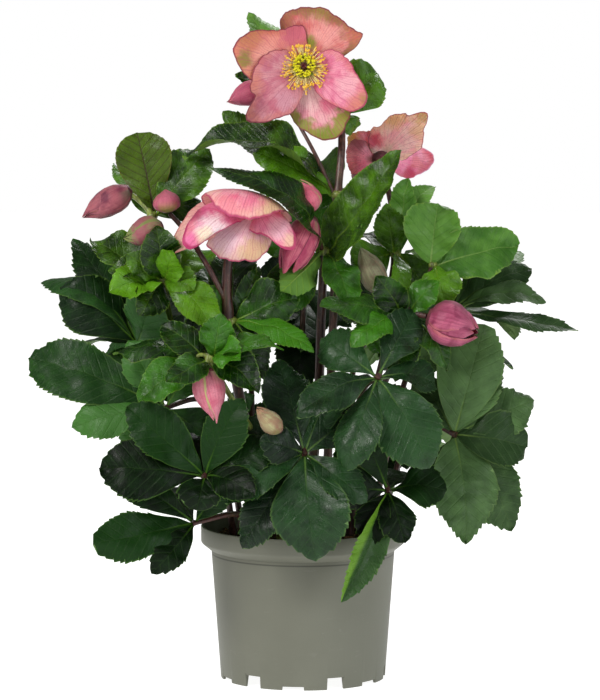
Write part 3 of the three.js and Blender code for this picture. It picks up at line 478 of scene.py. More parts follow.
potPiece = addPiece(
    "grower_pot_shell", [potPart()], [potMaterial()], "grower_pot", sharpAngle=32)
cutDrains(potPiece)
print("pot made")


# potting soil: a lumpy surface with bark on it

soil = dict(
    depth=11, dome=4, shoulder=45, shoulderRise=2.4,
    gap=2.2,  # from the pot's outside to the soil
    rows=34, columns=110,
    lumps=1.5, crumbs=0.8,
    chips=260, chipLength=(3.0, 9.0), chipGirth=(0.7, 1.9),
)
soilTop = pot["height"] - soil["depth"]
soilRadius = pot["rimRadius"] - soil["gap"]


def soilHeight(x, y):
    radius = math.hypot(x, y)
    if radius < soil["shoulder"]:
        return soilTop + soil["dome"] - (soil["dome"] - soil["shoulderRise"]) * radius / soil["shoulder"]
    return soilTop + soil["shoulderRise"] * (soilRadius - radius) / (soilRadius - soil["shoulder"])


def soilMaterial():
    material, tree, shader = newMaterial("pottingSoil", Roughness=0.95, Specular_IOR_Level=0.2)
    place = ownPlace(tree)
    clumps = noise(tree, place, 160, 6, 0.6)
    fibres = noise(tree, stretched(tree, place, (900, 300, 500)), 1, 4, 2.0)
    dark = mixed(tree, clumps, srgb(22, 16, 12), srgb(74, 55, 40))
    colour = mixed(tree, fade(tree, fibres, 0.6, 0.75), dark, srgb(120, 92, 66))
    tree.links.new(colour, shader.inputs["Base Color"])
    addBump(tree, shader, maths(tree, "ADD", clumps, fibres), 0.9, 2.0)
    return material


def barkMaterial():
    material, tree, shader = newMaterial("barkChips", Roughness=0.9, Specular_IOR_Level=0.25)
    place = ownPlace(tree)
    grain = noise(tree, stretched(tree, place, (1200, 260, 1200)), 1, 4, 1.0)
    tone = noise(tree, place, 60, 1)
    colour = mixed(tree, fade(tree, tone, 0.35, 0.65), srgb(52, 34, 24), srgb(112, 78, 52))
    colour = mixed(tree, fade(tree, grain, 0.45, 0.75), colour, srgb(142, 108, 78))
    tree.links.new(colour, shader.inputs["Base Color"])
    addBump(tree, shader, grain, 0.8, 1.0)
    return material


def soilPart(rng):
    rows, columns = soil["rows"], soil["columns"]
    turns = np.linspace(0, 2 * math.pi, columns, endpoint=False)
    waves = [(rng.uniform(0.09, 0.5), rng.uniform(0, 6.3), rng.uniform(0, 6.3)) for _ in range(14)]
    points, rings = [(0, 0, soilTop + soil["dome"])], [[0] * columns]
    for k in range(1, rows):
        radius = soilRadius * k / (rows - 1)
        calm = min(1, (rows - 1 - k) / 4)
        rings.append(list(range(len(points), len(points) + columns)))
        for turn in turns:
            x, y = radius * math.sin(turn), -radius * math.cos(turn)
            lump = sum(math.sin(f * (x * math.cos(d) + y * math.sin(d)) + p) for f, d, p in waves) / 4
            crumb = rng.uniform(-1, 1) * soil["crumbs"]
            points.append((x, y, soilHeight(x, y) + calm * (lump * soil["lumps"] + crumb)))
    bottom = pot["floorHeight"] + 2
    shoulder = pot["height"] - pot["bandHeight"] - pot["chamfer"] - 1
    for radius, z in ((pot["bodyRadius"], shoulder), (pot["footRadius"], bottom)):
        radius -= soil["gap"]
        rings.append(list(range(len(points), len(points) + columns)))
        points += [(radius * math.sin(turn), -radius * math.cos(turn), z) for turn in turns]
    rings.append([len(points)] * columns)
    points.append((0, 0, bottom))
    faces = []
    for inner, outer in zip(rings, rings[1:]):
        for i in range(columns):
            j = (i + 1) % columns
            faces.append(list(dict.fromkeys([inner[i], outer[i], outer[j], inner[j]])))
    return newPart(points, faces)


def chipPart(rng):
    # one splinter of bark: a bent six-sided wedge that lies on the soil
    radius = soilRadius * 0.97 * math.sqrt(rng.random())
    turn, heading, tilt = rng.uniform(0, 6.3), rng.uniform(0, 6.3), rng.uniform(-0.35, 0.35)
    x, y = radius * math.cos(turn), radius * math.sin(turn)
    length = rng.uniform(*soil["chipLength"])
    level = math.cos(tilt)
    direction = np.array([math.cos(heading) * level, math.sin(heading) * level, math.sin(tilt)])
    middle = np.array([x, y, soilHeight(x, y) + 0.9])
    steps = (-0.5, -0.15, 0.2, 0.5)
    path = np.array([middle + direction * length * s + (0, 0, rng.uniform(-0.4, 0.4)) for s in steps])
    radii = rng.uniform(*soil["chipGirth"]) * np.array([0.5, 1, 0.9, 0.3])
    return tubePart(path, radii, sides=6, flat=rng.uniform(0.3, 0.6), slot=1)


soilDraw = random.Random("soil")
soilParts = [soilPart(soilDraw)] + [chipPart(soilDraw) for _ in range(soil["chips"])]
soilSkins = [soilMaterial(), barkMaterial()]
addPiece("potting_soil_bed", soilParts, soilSkins, "potting_soil", sharpAngle=50)
print("soil made")


# flower stems: ribbed, speckled and thicker at each node

stemLook = dict(
    clearance=0.9,  # from the soil up to a stem's cut end
    step=3.0, branchStep=2.1,
    taper=(1.08, 0.82),  # radius at the foot and at the top, as shares of the stated one
    branchTaper=(1.12, 0.2),  # the same at a branch's foot, and how much of it is lost by its end
    flare=(1.3, 1.12),  # at the first two rings above the soil
    fork=0.35,  # how much wider a branch is where it leaves its stem
    sides=16, ribs=5, ribDepth=0.05,
    nodeSwell=0.28, nodeReach=5.0,  # how much thicker a stem is at a node, and over what length
)
stemPaint = {
    "brown": dict(
        slot="purple_stem", green=0.25,
        dark=srgb(50, 30, 26), light=srgb(100, 62, 54), fleck=srgb(142, 118, 88),
    ),
    "wine": dict(
        slot="purple_stem", green=0.2,
        dark=srgb(38, 18, 18), light=srgb(80, 42, 38), fleck=srgb(122, 94, 72),
    ),
    "green": dict(
        slot="green_stem", green=0.0,
        dark=srgb(94, 104, 44), light=srgb(148, 166, 74), fleck=srgb(110, 52, 52),
    ),
}
stems = {
    "stem_flower_a": dict(
        foot=(16, -8), radius=3.1, look="brown",
        path=[(20, -14, 219), (23, -24, 300), (25, -24, 355), (28, -12, 394), (26, -2, 420),
            (14, -3, 438), (4, -10, 446)],
        branches=[
            dict(radius=1.3, path=[(24, -24, 353), (11, -27, 382), (-1, -20, 404), (-13, -6, 423),
                (-27, 0, 434)]),
        ],
    ),
    "stem_bracts": dict(
        foot=(2, -2), radius=3.7, look="wine",
        path=[(11, -6, 203), (13, -10, 262), (15, -24, 315)],
        branches=[
            dict(radius=1.3, path=[(15, -24, 312), (11, -34, 329), (6, -42, 345)]),
        ],
    ),
    "stem_flower_b": dict(
        foot=(-20, -14), radius=3.9, look="wine",
        path=[(-42, -34, 192), (-53, -50, 259), (-54, -54, 309), (-48, -52, 330), (-37, -50, 349)],
        branches=[
            dict(radius=1.9, path=[(-53, -52, 277), (-65, -56, 302), (-76, -52, 320), (-86, -44, 334),
                (-96, -42, 345)]),
        ],
    ),
    "stem_left": dict(
        foot=(-30, 0), radius=2.4, look="green",
        path=[(-67, -26, 198), (-92, -46, 255), (-101, -44, 297), (-106, -36, 323), (-109, -32, 342),
            (-117, -28, 352), (-125, -26, 358)],
        branches=[
            dict(radius=1.1, path=[(-108, -36, 332), (-105, -43, 337), (-101.5, -49, 336.3)]),
        ],
    ),
    "stem_right": dict(
        foot=(34, 2), radius=2.5, look="wine",
        path=[(50, -8, 203), (59, -12, 241), (62, -4, 276), (67, 4, 312), (65, 12, 345), (57, 16, 379)],
        branches=[
            dict(radius=2.2, path=[(50, -8, 200), (62, -30, 228), (66, -42, 255), (74, -46, 272),
                (89, -56, 272)]),
            dict(radius=1.6, path=[(74, -46, 271), (85, -34, 287), (94, -24, 306)]),
            dict(radius=1.2, path=[(62, -4, 275), (60, -22, 280), (57, -36, 288)]),
        ],
    ),
    "stem_low": dict(
        foot=(-16, -32), radius=2.2, look="green",
        path=[(-32, -72, 182), (-53, -86, 220), (-68, -88, 247)],
        branches=[
            dict(radius=1.3, path=[(-67, -89, 247), (-69, -92, 241)]),
            dict(radius=1.2, path=[(-67, -88, 246), (-73, -90, 248), (-81, -92, 241)]),
            dict(radius=1.2, path=[(-33, -72, 184), (-20, -92, 185), (-14, -98, 192)]),
        ],
    ),
}


def stemMaterial(name, paint):
    material, tree, shader = newMaterial(
        name, Roughness=0.42, Specular_IOR_Level=0.45, Coat_Weight=0.12, Coat_Roughness=0.3)
    place = ownPlace(tree)
    streaks = noise(tree, stretched(tree, place, (520, 520, 45)), 1, 4, 0.6)
    blotches = noise(tree, stretched(tree, place, (90, 90, 34)), 1, 3, 0.5)
    flecks = noise(tree, stretched(tree, place, (1500, 1500, 500)), 1, 2)
    colour = mixed(tree, fade(tree, streaks, 0.35, 0.68), paint["dark"], paint["light"])
    colour = mixed(tree, fade(tree, flecks, 0.6, 0.72, 0, 0.6), colour, paint["fleck"])
    greenish = fade(tree, blotches, 0.52, 0.75, 0, paint["green"])
    colour = mixed(tree, greenish, colour, srgb(104, 112, 58))
    tree.links.new(colour, shader.inputs["Base Color"])
    addBump(tree, shader, maths(tree, "ADD", streaks, maths(tree, "MULTIPLY", flecks, 0.4)), 0.5, 0.5)
    return material


def nodeSwelling(path, nodes):
    # a factor for each point of a stem, over 1 near the nodes
    swelling = np.ones(len(path))
    for node in nodes:
        distance = np.linalg.norm(path - np.asarray(node, float), axis=1)
        swelling += stemLook["nodeSwell"] * np.exp(-(distance / stemLook["nodeReach"]) ** 2)
    return swelling


def stemParts(name, stem):
    rng = random.Random(name)
    foot = (*stem["foot"], soilHeight(*stem["foot"]) + stemLook["clearance"])
    path = curvePoints([foot, *stem["path"]], stemLook["step"])
    nodes = [whorl["node"] for whorl in whorls.values()]
    forks = [branch["path"][0] for branch in stem.get("branches", [])]
    share = np.linspace(0, 1, len(path))
    low, high = stemLook["taper"]
    radii = stem["radius"] * (low + (high - low) * share) * nodeSwelling(path, nodes + forks)
    radii[:2] *= stemLook["flare"]
    look = {key: stemLook[key] for key in ("sides", "ribs", "ribDepth")}
    parts = [tubePart(path, radii, seed=rng.uniform(0, 6), **look)]
    for branch in stem.get("branches", []):
        twig = curvePoints(branch["path"], stemLook["branchStep"])
        share = np.linspace(0, 1, len(twig))
        low, lost = stemLook["branchTaper"]
        radii = branch["radius"] * (low - lost * share) * nodeSwelling(twig, nodes)
        radii *= 1 + stemLook["fork"] * np.exp(-(share * len(twig) / 2.0) ** 2)
        parts.append(tubePart(twig, radii, seed=rng.uniform(0, 6), **look))
    return parts


stemMaterials = {look: stemMaterial(look + "StemSkin", paint) for look, paint in stemPaint.items()}


# leaflets and bracts: toothed blades with sunken veins

# ways that the upper side of a blade can face
up, front, back = (0, -0.3, 1), (0, -1, 0.35), (0, 1, 0.4)

leafStyle = dict(
    thickness=0.55, toothLength=4.2, toothDepth=1.5, teethFrom=(0.34, 0.5),
    peak=(1.2, 1.55), power=(0.78, 1.0),  # where the blade is widest and how fast it narrows
    camber=(-0.42, 0.16),  # how far the edges bend, as a share of the half width
    waves=(0.06, 0.17), waveCount=(0.8, 2.4),
    quilt=0.45, veinSpacing=7.6, veinSlope=0.85,
    pucker=0.9,  # height of the broad, uneven swellings
    twist=24, curl=(-5, 3),  # degrees of turn along the blade, and how far its tip bends up
    sway=0.035, lopsided=0.09,  # sideways bend as a share of the length, and how unlike its halves are
    rows=9, across=(0.05, 0.14, 0.28, 0.45, 0.64, 0.82, 1.0),
)
bractStyle = dict(
    leafStyle, thickness=0.42, toothLength=3.4, toothDepth=0.9, teethFrom=(0.3, 0.6),
    peak=(0.95, 1.35), power=(0.7, 0.95), camber=(-0.45, 0.5), waves=(0.12, 0.26), waveCount=(1.2, 3.0),
    quilt=0.55, veinSpacing=6.0, veinSlope=0.8, pucker=1.3, twist=30, curl=(-5, 4),
)
# outlines and skins of blades that differ from the rest
bigBract = dict(peak=(0.62, 0.62), power=(0.62, 0.62), waves=(0.06, 0.1), twist=6, toothDepth=0.4)
bluntBract = dict(peak=(1.9, 1.9), power=(0.5, 0.5), toothDepth=0.4, twist=6)
broadBract = dict(peak=(1.3, 1.3), power=(0.6, 0.6), twist=12)
flatBlade = dict(twist=4, curl=(-2, 0))
bluntLeaf = dict(twist=6, curl=(0, 1), peak=(1.55, 1.55), power=(0.6, 0.6))
droopingBract = dict(twist=4, curl=(-12, -12))
hangingLeaf = dict(twist=4, curl=(0, 1), waves=(0.03, 0.06), peak=(1.1, 1.1), power=(0.85, 0.85))
broadLeaf = dict(peak=(1.35, 1.35), power=(0.6, 0.6))
pointedLeaf = dict(peak=(1.0, 1.0), power=(0.95, 0.95))
stalkHalf = 0.8  # half width where a blade leaves its stalk
tipHalf = 0.15  # half width at its tip
hubReach = 1.4  # from the middle of a leaf's hub to where its leaflets start
hubBeyond = 2  # how far a leaf's stalk goes on past that middle
bladeRange = 20.0  # centimetres that keep the markings of one blade apart from the next one's


def blade(tip, face, width, arch, fold=0.1, **more):
    # arch is how far its middle rises, fold how steeply its halves fold up along the midrib
    return dict(tip=tip, face=face, width=width, arch=arch, fold=fold, **more)


backFan = dict(count=7, spread=250, length=80, width=36)  # leaflets, degrees, and the size of the middle one


def backLeaf(foot, hub, azimuth, innerTips):
    # a leaf on the far side, whose leaflets fan out round a direction given in degrees from +X,
    # with a few more that reach in among the stems
    fan = backFan
    leaflets = []
    for i in range(fan["count"]):
        turn = i / (fan["count"] - 1) - 0.5
        angle = math.radians(azimuth + turn * fan["spread"])
        reach = fan["length"] * (1 - 0.5 * abs(turn))
        dx, dy = math.cos(angle), math.sin(angle)
        fall = reach * (0.54 if i % 2 else 0.42)
        tip = (hub[0] + dx * reach, hub[1] + dy * reach, hub[2] - fall)
        leaflets.append(blade(tip, (0.4 * dx, 0.4 * dy, 1), fan["width"] * (1 - 0.25 * abs(turn)), 8))
    leaflets += [blade(tip, front, fan["width"], 6) for tip in innerTips]
    rise = (foot[0] * 1.2, foot[1] * 1.1, hub[2] - 12)
    return dict(foot=foot, rise=rise, hub=hub, leaflets=leaflets)


def stepOut(node, tip, distance, axis=None):
    # the point at a distance from the node towards the tip, square to the axis if there is one
    outward = np.asarray(tip, float) - np.asarray(node, float)
    outward = unit(outward) if axis is None else squared(outward, axis)
    return np.asarray(node, float) + outward * distance


def toothRows(style, length, rng):
    # places along the blade, and how far each row's edge stands out: three rows to a tooth
    start, end = rng.uniform(*style["teethFrom"]), 0.975
    teeth = max(4, round((end - start) * length / style["toothLength"]))
    rows = round(style["rows"] * start / 0.3)
    places = list(np.linspace(0, start, rows, endpoint=False))
    stands = [(0.0, 0.0)] * rows
    steps = np.cumsum([0] + [rng.uniform(0.65, 1.35) for _ in range(teeth)])
    for k in range(teeth):
        size = [rng.uniform(0.25, 1.2), rng.uniform(0.25, 1.2)]
        for part, height in ((0.0, 0.0), (0.45, 0.6), (0.8, 1.0)):
            place = steps[k] + part * (steps[k + 1] - steps[k])
            places.append(start + (end - start) * place / steps[-1])
            stands.append(tuple(height * side for side in size))
    return np.array(places + [1.0]), np.array(stands + [(0.0, 0.0)])


def bladeSpine(row, base, length, s, style, rng):
    # points of the midrib, and its directions to the tip, to the side and off the upper face
    tip = np.asarray(row["tip"], float)
    bow = squared(np.asarray(row["face"], float), (tip - base) / length)
    control = (base + tip) / 2 + bow * 2 * row["arch"]
    rib = (1 - s) ** 2 * base + 2 * s * (1 - s) * control + s ** 2 * tip
    tangent = unit(2 * (1 - s) * (control - base) + 2 * s * (tip - control))
    normal = squared(np.repeat(bow[None], len(s), axis=0), tangent)
    side = np.cross(normal, tangent)
    turn = math.radians(rng.uniform(-1, 1) * style["twist"]) * (s - 0.25)
    normal, side = normal * np.cos(turn) + side * np.sin(turn), side * np.cos(turn) - normal * np.sin(turn)
    sway = rng.uniform(-style["sway"], style["sway"]) * length * np.sin(math.pi * s)
    rib = rib + side * sway + normal * rng.uniform(*style["curl"]) * (np.clip(s - 0.55, 0, 1) / 0.45) ** 2
    return rib, tangent, side, normal


def bladeOutline(row, u, v, stands, style, rng):
    # half the width at each row, each point's distance from the midrib, and how far its tooth stands out
    peak, power = rng.uniform(*style["peak"]), rng.uniform(*style["power"])
    half = row["width"] / 2 * np.sin(math.pi * u ** peak) ** power
    half = np.maximum(half, stalkHalf * (1 - u ** 6))
    half = np.maximum(half, tipHalf)
    lopsided = 1 + rng.uniform(-style["lopsided"], style["lopsided"]) * np.sign(v)
    near = np.clip((np.abs(v) - 0.6) / 0.4, 0, 1) ** 2
    tooth = np.where(v[None] < 0, stands[:, :1], stands[:, 1:]) * near * style["toothDepth"]
    tooth = tooth * np.minimum(1, half / 6)[:, None]
    return half, v * lopsided * half[:, None], tooth


def bladeLift(row, length, u, v, half, width, style, rng):
    # bent and wavy edges, the quilting between the side veins, the groove of the midrib and broad swellings
    bends = [rng.uniform(*style["camber"]) for _ in range(2)]
    camber = np.where(v < 0, *bends) + row["fold"] * 0.4
    lift = camber * v ** 2 * half[:, None] + row["fold"] * 0.6 * np.abs(v) * half[:, None]
    for edge in (-1, 1):
        size, count = rng.uniform(*style["waves"]), rng.uniform(*style["waveCount"])
        wave = np.sin(2 * math.pi * count * u + rng.uniform(0, 6.3)) * np.minimum(1, 4 * u)
        atEdge = np.where(np.sign(v) == edge, size * np.abs(v) ** 1.6, 0)
        lift = lift + atEdge * wave[:, None] * row["width"] / 2
    crease = (u[:, None] * length - style["veinSlope"] * np.abs(width)) / style["veinSpacing"] + 0.5 * (v > 0)
    quilt = np.abs(np.sin(math.pi * crease)) ** 0.7 - 0.6
    room = np.clip(half / 8, 0, 1)[:, None] * (1 - np.abs(v) ** 6) * np.clip(np.abs(v) * 6, 0, 1)
    lift = lift + style["quilt"] * quilt * room - 0.45 * np.exp(-(v * half[:, None] / 1.3) ** 2) * room.max()
    for _ in range(4):
        way, waveLength = rng.uniform(0, math.pi), rng.uniform(14, 30)
        phase = (u[:, None] * length * math.cos(way) + width * math.sin(way)) / waveLength
        swelling = np.sin(2 * math.pi * phase + rng.uniform(0, 6))
        lift = lift + style["pucker"] * 0.42 * swelling * np.clip(half / 8, 0, 1)[:, None]
    return lift


def bladeParts(row, base, style, rng):
    # the blade, and the rib that runs along its under side; u goes from base to tip, v from edge to edge
    style = style | row.get("shape", {})
    length = np.linalg.norm(np.asarray(row["tip"], float) - base)
    u, stands = toothRows(style, length, rng)
    v = np.array([-x for x in reversed(style["across"])] + [0.0] + list(style["across"]))
    rib, tangent, side, normal = bladeSpine(row, base, length, u[:, None], style, rng)
    half, width, tooth = bladeOutline(row, u, v, stands, style, rng)
    sideways = width + np.sign(v) * tooth
    lift = bladeLift(row, length, u, v, half, width, style, rng)
    points = rib[:, None] + side[:, None] * sideways[..., None] + normal[:, None] * lift[..., None]
    points = points + tangent[:, None] * (0.75 * tooth)[..., None]
    normals = np.repeat(normal[:, None], len(v), axis=1)
    thickness = style["thickness"] * (1 + 1.2 * np.exp(-(sideways / 1.2) ** 2))
    offset = bladeRange * rng.randrange(1, 400)
    real = np.stack([u[:, None] * length / 10 + offset + 0 * v, sideways / 10], axis=-1)
    share = np.stack([u[:, None] + 0 * v, 0 * u[:, None] + v], axis=-1)
    sheet = sheetPart(points, normals, thickness, real, share, slots=(row.get("skin", 0), 1))
    inner = slice(0, int(len(u) * 0.8), 2)
    sizes = np.linspace(1.15, 0.35, len(u[inner]))
    below = 0.6 * (sizes + style["thickness"])
    spine = points[inner, len(style["across"])] - normal[inner] * below[:, None]
    return [sheet, tubePart(spine, sizes, sides=6, slot=2)]


leafPaint = dict(gloss=(0.28, 0.5), veinShow=0.1, ribEnd=0.06, crinkle=0.4)
bladePaint = {
    "leaf": leafPaint | dict(
        dark=srgb(7, 28, 7), light=srgb(42, 82, 32), rib=srgb(72, 108, 30), vein=srgb(62, 96, 42),
        edge=srgb(78, 108, 44), under=srgb(104, 136, 74), shine=0.13,
    ),
    "leafMid": leafPaint | dict(
        dark=srgb(20, 52, 14), light=srgb(62, 108, 44), rib=srgb(92, 124, 50), vein=srgb(74, 108, 54),
        edge=srgb(84, 114, 50), under=srgb(110, 140, 82), shine=0.14,
    ),
    "leafBlue": leafPaint | dict(
        dark=srgb(6, 25, 9), light=srgb(38, 71, 35), rib=srgb(84, 116, 50), vein=srgb(58, 92, 46),
        edge=srgb(74, 104, 48), under=srgb(104, 134, 80), shine=0.19,
        gloss=(0.22, 0.44), veinShow=0.12, crinkle=0.5,
    ),
    "leafDark": leafPaint | dict(
        dark=srgb(3, 15, 2), light=srgb(20, 50, 14), rib=srgb(66, 104, 28), vein=srgb(54, 88, 36),
        edge=srgb(72, 104, 42), under=srgb(104, 136, 74), shine=0.1,
    ),
    "leafGrey": leafPaint | dict(
        dark=srgb(36, 60, 28), light=srgb(84, 116, 66), rib=srgb(104, 132, 62), vein=srgb(86, 116, 66),
        edge=srgb(88, 114, 58), under=srgb(116, 144, 88), shine=0.14,
        gloss=(0.3, 0.52), veinShow=0.12, ribEnd=0.08,
    ),
    "leafFolded": leafPaint | dict(
        dark=srgb(22, 44, 20), light=srgb(52, 84, 40), rib=srgb(84, 116, 56), vein=srgb(70, 100, 50),
        edge=srgb(120, 170, 36), under=srgb(110, 140, 80), shine=0.2,
        gloss=(0.26, 0.46), veinShow=0.12, ribEnd=0.08, crinkle=0.5, edgeSide=-1, edgeFrom=0.25,
    ),
    "bract": dict(
        dark=srgb(8, 36, 0), light=srgb(92, 144, 24), rib=srgb(116, 150, 40), vein=srgb(96, 138, 38),
        edge=srgb(104, 136, 40), under=srgb(108, 142, 60), shine=0.27,
        gloss=(0.18, 0.42), veinShow=0.16, ribEnd=0.16, crinkle=1.1,
    ),
    "bractDeep": dict(
        dark=srgb(4, 28, 0), light=srgb(58, 116, 18), rib=srgb(112, 148, 44), vein=srgb(84, 128, 40),
        edge=srgb(104, 140, 48), under=srgb(100, 136, 60), shine=0.25,
        gloss=(0.22, 0.44), veinShow=0.14, ribEnd=0.14, crinkle=1.0,
    ),
    "bractOlive": dict(
        dark=srgb(34, 50, 0), light=srgb(74, 102, 4), rib=srgb(54, 24, 30), vein=srgb(46, 26, 22),
        edge=srgb(90, 76, 30), under=srgb(112, 130, 58), shine=0.22,
        gloss=(0.3, 0.48), veinShow=0.45, ribEnd=0.7, crinkle=1.0,
    ),
    "bractLight": dict(
        dark=srgb(46, 92, 20), light=srgb(100, 148, 58), rib=srgb(134, 164, 86), vein=srgb(66, 104, 44),
        edge=srgb(120, 150, 70), under=srgb(118, 150, 80), shine=0.2,
        gloss=(0.32, 0.5), veinShow=0.2, ribEnd=0.3, crinkle=0.6,
    ),
}


def bladeTone(tree, along, across, paint):
    # a colour that drifts from blade to blade and over each blade
    whichBlade = maths(tree, "FLOOR", maths(tree, "DIVIDE", along, bladeRange))
    pick = put(tree, "ShaderNodeTexWhiteNoise", {"W": whichBlade}, noise_dimensions="1D").outputs["Value"]
    place = put(tree, "ShaderNodeCombineXYZ", {0: along, 1: across, 2: pick}).outputs[0]
    cloud = noise(tree, place, 0.9, 4, 0.4)
    tone = maths(tree, "ADD", maths(tree, "MULTIPLY", pick, 0.62), maths(tree, "MULTIPLY", cloud, 0.7))
    return mixed(tree, fade(tree, tone, 0.36, 1.0), paint["dark"], paint["light"]), place


def veinMasks(tree, along, across, share, spacing, slope):
    # near 1 on the midrib, and near 1 on the side veins
    out = maths(tree, "ABSOLUTE", across)
    toTip = maths(tree, "SUBTRACT", 1.0, share)
    ribHalf = maths(tree, "ADD", 0.025, maths(tree, "MULTIPLY", toTip, 0.05))
    rib = fade(tree, maths(tree, "DIVIDE", out, ribHalf), 0.6, 1.3, 1, 0)
    inBlade = maths(tree, "MODULO", along, bladeRange)
    slanted = maths(tree, "SUBTRACT", inBlade, maths(tree, "MULTIPLY", out, slope))
    phase = maths(tree, "DIVIDE", slanted, spacing / 10)
    phase = maths(tree, "ADD", phase, maths(tree, "MULTIPLY", maths(tree, "GREATER_THAN", across, 0.0), 0.5))
    toVein = maths(tree, "PINGPONG", phase, 0.5)
    side = fade(tree, toVein, 0.03, 0.12, 1, 0)
    return rib, side


def upperMaterial(name, paint, style):
    material, tree, shader = newMaterial(
        name, Specular_IOR_Level=paint["shine"], Coat_Weight=paint["shine"] * 0.3, Coat_Roughness=0.24,
        Subsurface_Weight=0.06, Subsurface_Radius=(0.3, 0.6, 0.15), Subsurface_Scale=0.0015)
    along, across = uvOf(tree, "real")
    share, v = uvOf(tree, "share")
    colour, place = bladeTone(tree, along, across, paint)
    rib, side = veinMasks(tree, along, across, share, style["veinSpacing"], style["veinSlope"])
    cells = put(tree, "ShaderNodeTexVoronoi", {"Vector": place, "Scale": 5.5}, feature="DISTANCE_TO_EDGE")
    net = fade(tree, cells.outputs["Distance"], 0.0, 0.12, 1, 0)
    colour = mixed(tree, maths(tree, "MULTIPLY", net, 0.3 * paint["veinShow"]), colour, paint["vein"])
    colour = mixed(tree, maths(tree, "MULTIPLY", side, paint["veinShow"]), colour, paint["vein"])
    strong = fade(tree, share, 0.0, 0.42, 0.85, paint["ribEnd"])
    colour = mixed(tree, maths(tree, "MULTIPLY", rib, strong), colour, paint["rib"])
    # the light edge, on both sides or on the one that edgeSide names
    edgeFrom = paint.get("edgeFrom", 0.93)
    if "edgeSide" in paint:
        out, edgeFull = maths(tree, "MULTIPLY", v, paint["edgeSide"]), 0.5 + edgeFrom / 2
    else:
        out, edgeFull = maths(tree, "ABSOLUTE", v), 1.0
    colour = mixed(tree, fade(tree, out, edgeFrom, edgeFull, 0, 0.55), colour, paint["edge"])
    tree.links.new(colour, shader.inputs["Base Color"])
    blotch = noise(tree, place, 2.2, 3)
    tree.links.new(fade(tree, blotch, 0.3, 0.7, *paint["gloss"]), shader.inputs["Roughness"])
    crinkle = maths(tree, "MULTIPLY", noise(tree, place, 3.5, 4, 0.5), paint["crinkle"])
    grooves = maths(tree, "ADD", maths(tree, "MULTIPLY", net, -0.12), maths(tree, "MULTIPLY", side, -0.3))
    grooves = maths(tree, "ADD", grooves, maths(tree, "MULTIPLY", rib, -0.3))
    addBump(tree, shader, maths(tree, "ADD", crinkle, grooves), 0.7, 0.9)
    return material


def underMaterial(name, paint, style):
    material, tree, shader = newMaterial(name, Roughness=0.62, Specular_IOR_Level=0.15)
    along, across = uvOf(tree, "real")
    share, _ = uvOf(tree, "share")
    tone, place = bladeTone(tree, along, across, paint)
    rib, side = veinMasks(tree, along, across, share, style["veinSpacing"], style["veinSlope"])
    colour = mixed(tree, 0.72, tone, paint["under"])
    veins = maths(tree, "MAXIMUM", rib, maths(tree, "MULTIPLY", side, 0.55))
    colour = mixed(tree, maths(tree, "MULTIPLY", veins, 0.7), colour, paint["rib"])
    tree.links.new(colour, shader.inputs["Base Color"])
    fine = maths(tree, "MULTIPLY", noise(tree, place, 9, 4), 0.3)
    addBump(tree, shader, maths(tree, "ADD", maths(tree, "MULTIPLY", veins, 0.6), fine), 0.6, 0.8)
    return material


def stalkMaterial(name, low, high):
    # the ribs under the blades: fine lengthwise lines over patches of two colours
    material, tree, shader = newMaterial(name, Roughness=0.42, Specular_IOR_Level=0.45)
    place = ownPlace(tree)
    lines = noise(tree, stretched(tree, place, (700, 700, 60)), 1, 4, 0.4)
    patches = noise(tree, stretched(tree, place, (60, 60, 22)), 1, 3)
    colour = mixed(tree, fade(tree, patches, 0.35, 0.65), low, high)
    colour = mixed(tree, fade(tree, lines, 0.5, 0.75, 0, 0.45), colour, srgb(120, 118, 70))
    tree.links.new(colour, shader.inputs["Base Color"])
    addBump(tree, shader, lines, 0.5, 0.4)
    return material


def bladeSet(name, style, stalk, extra):
    # the skins that a piece's slots name: upper, under, rib, stalk, and the upper side of odd blades
    paint = bladePaint[name]
    upper, under = upperMaterial(name + "Upper", paint, style), underMaterial(name + "Under", paint, style)
    return [upper, under, stalkMaterial(name + "Rib", paint["under"], paint["rib"]), stalk, extra]


# leaves and whorls whose paint differs from the rest: bluer, brighter, greyer or darker
leafLooks = {
    "leaf_front": "leafBlue", "leaf_right_front": "leafBlue", "leaf_left_mid": "leafMid",
    "leaf_right_high": "leafGrey", "leaf_right_low": "leafGrey",
    "leaf_left_low": "leafDark", "leaf_rim_left": "leafDark", "leaf_rim_right": "leafDark",
}
whorlLooks = dict.fromkeys(("bracts_under_b", "bracts_low", "bracts_mid", "bracts_right"), "bractDeep")
odd = 4  # the slot of a skin that few of a piece's blades have

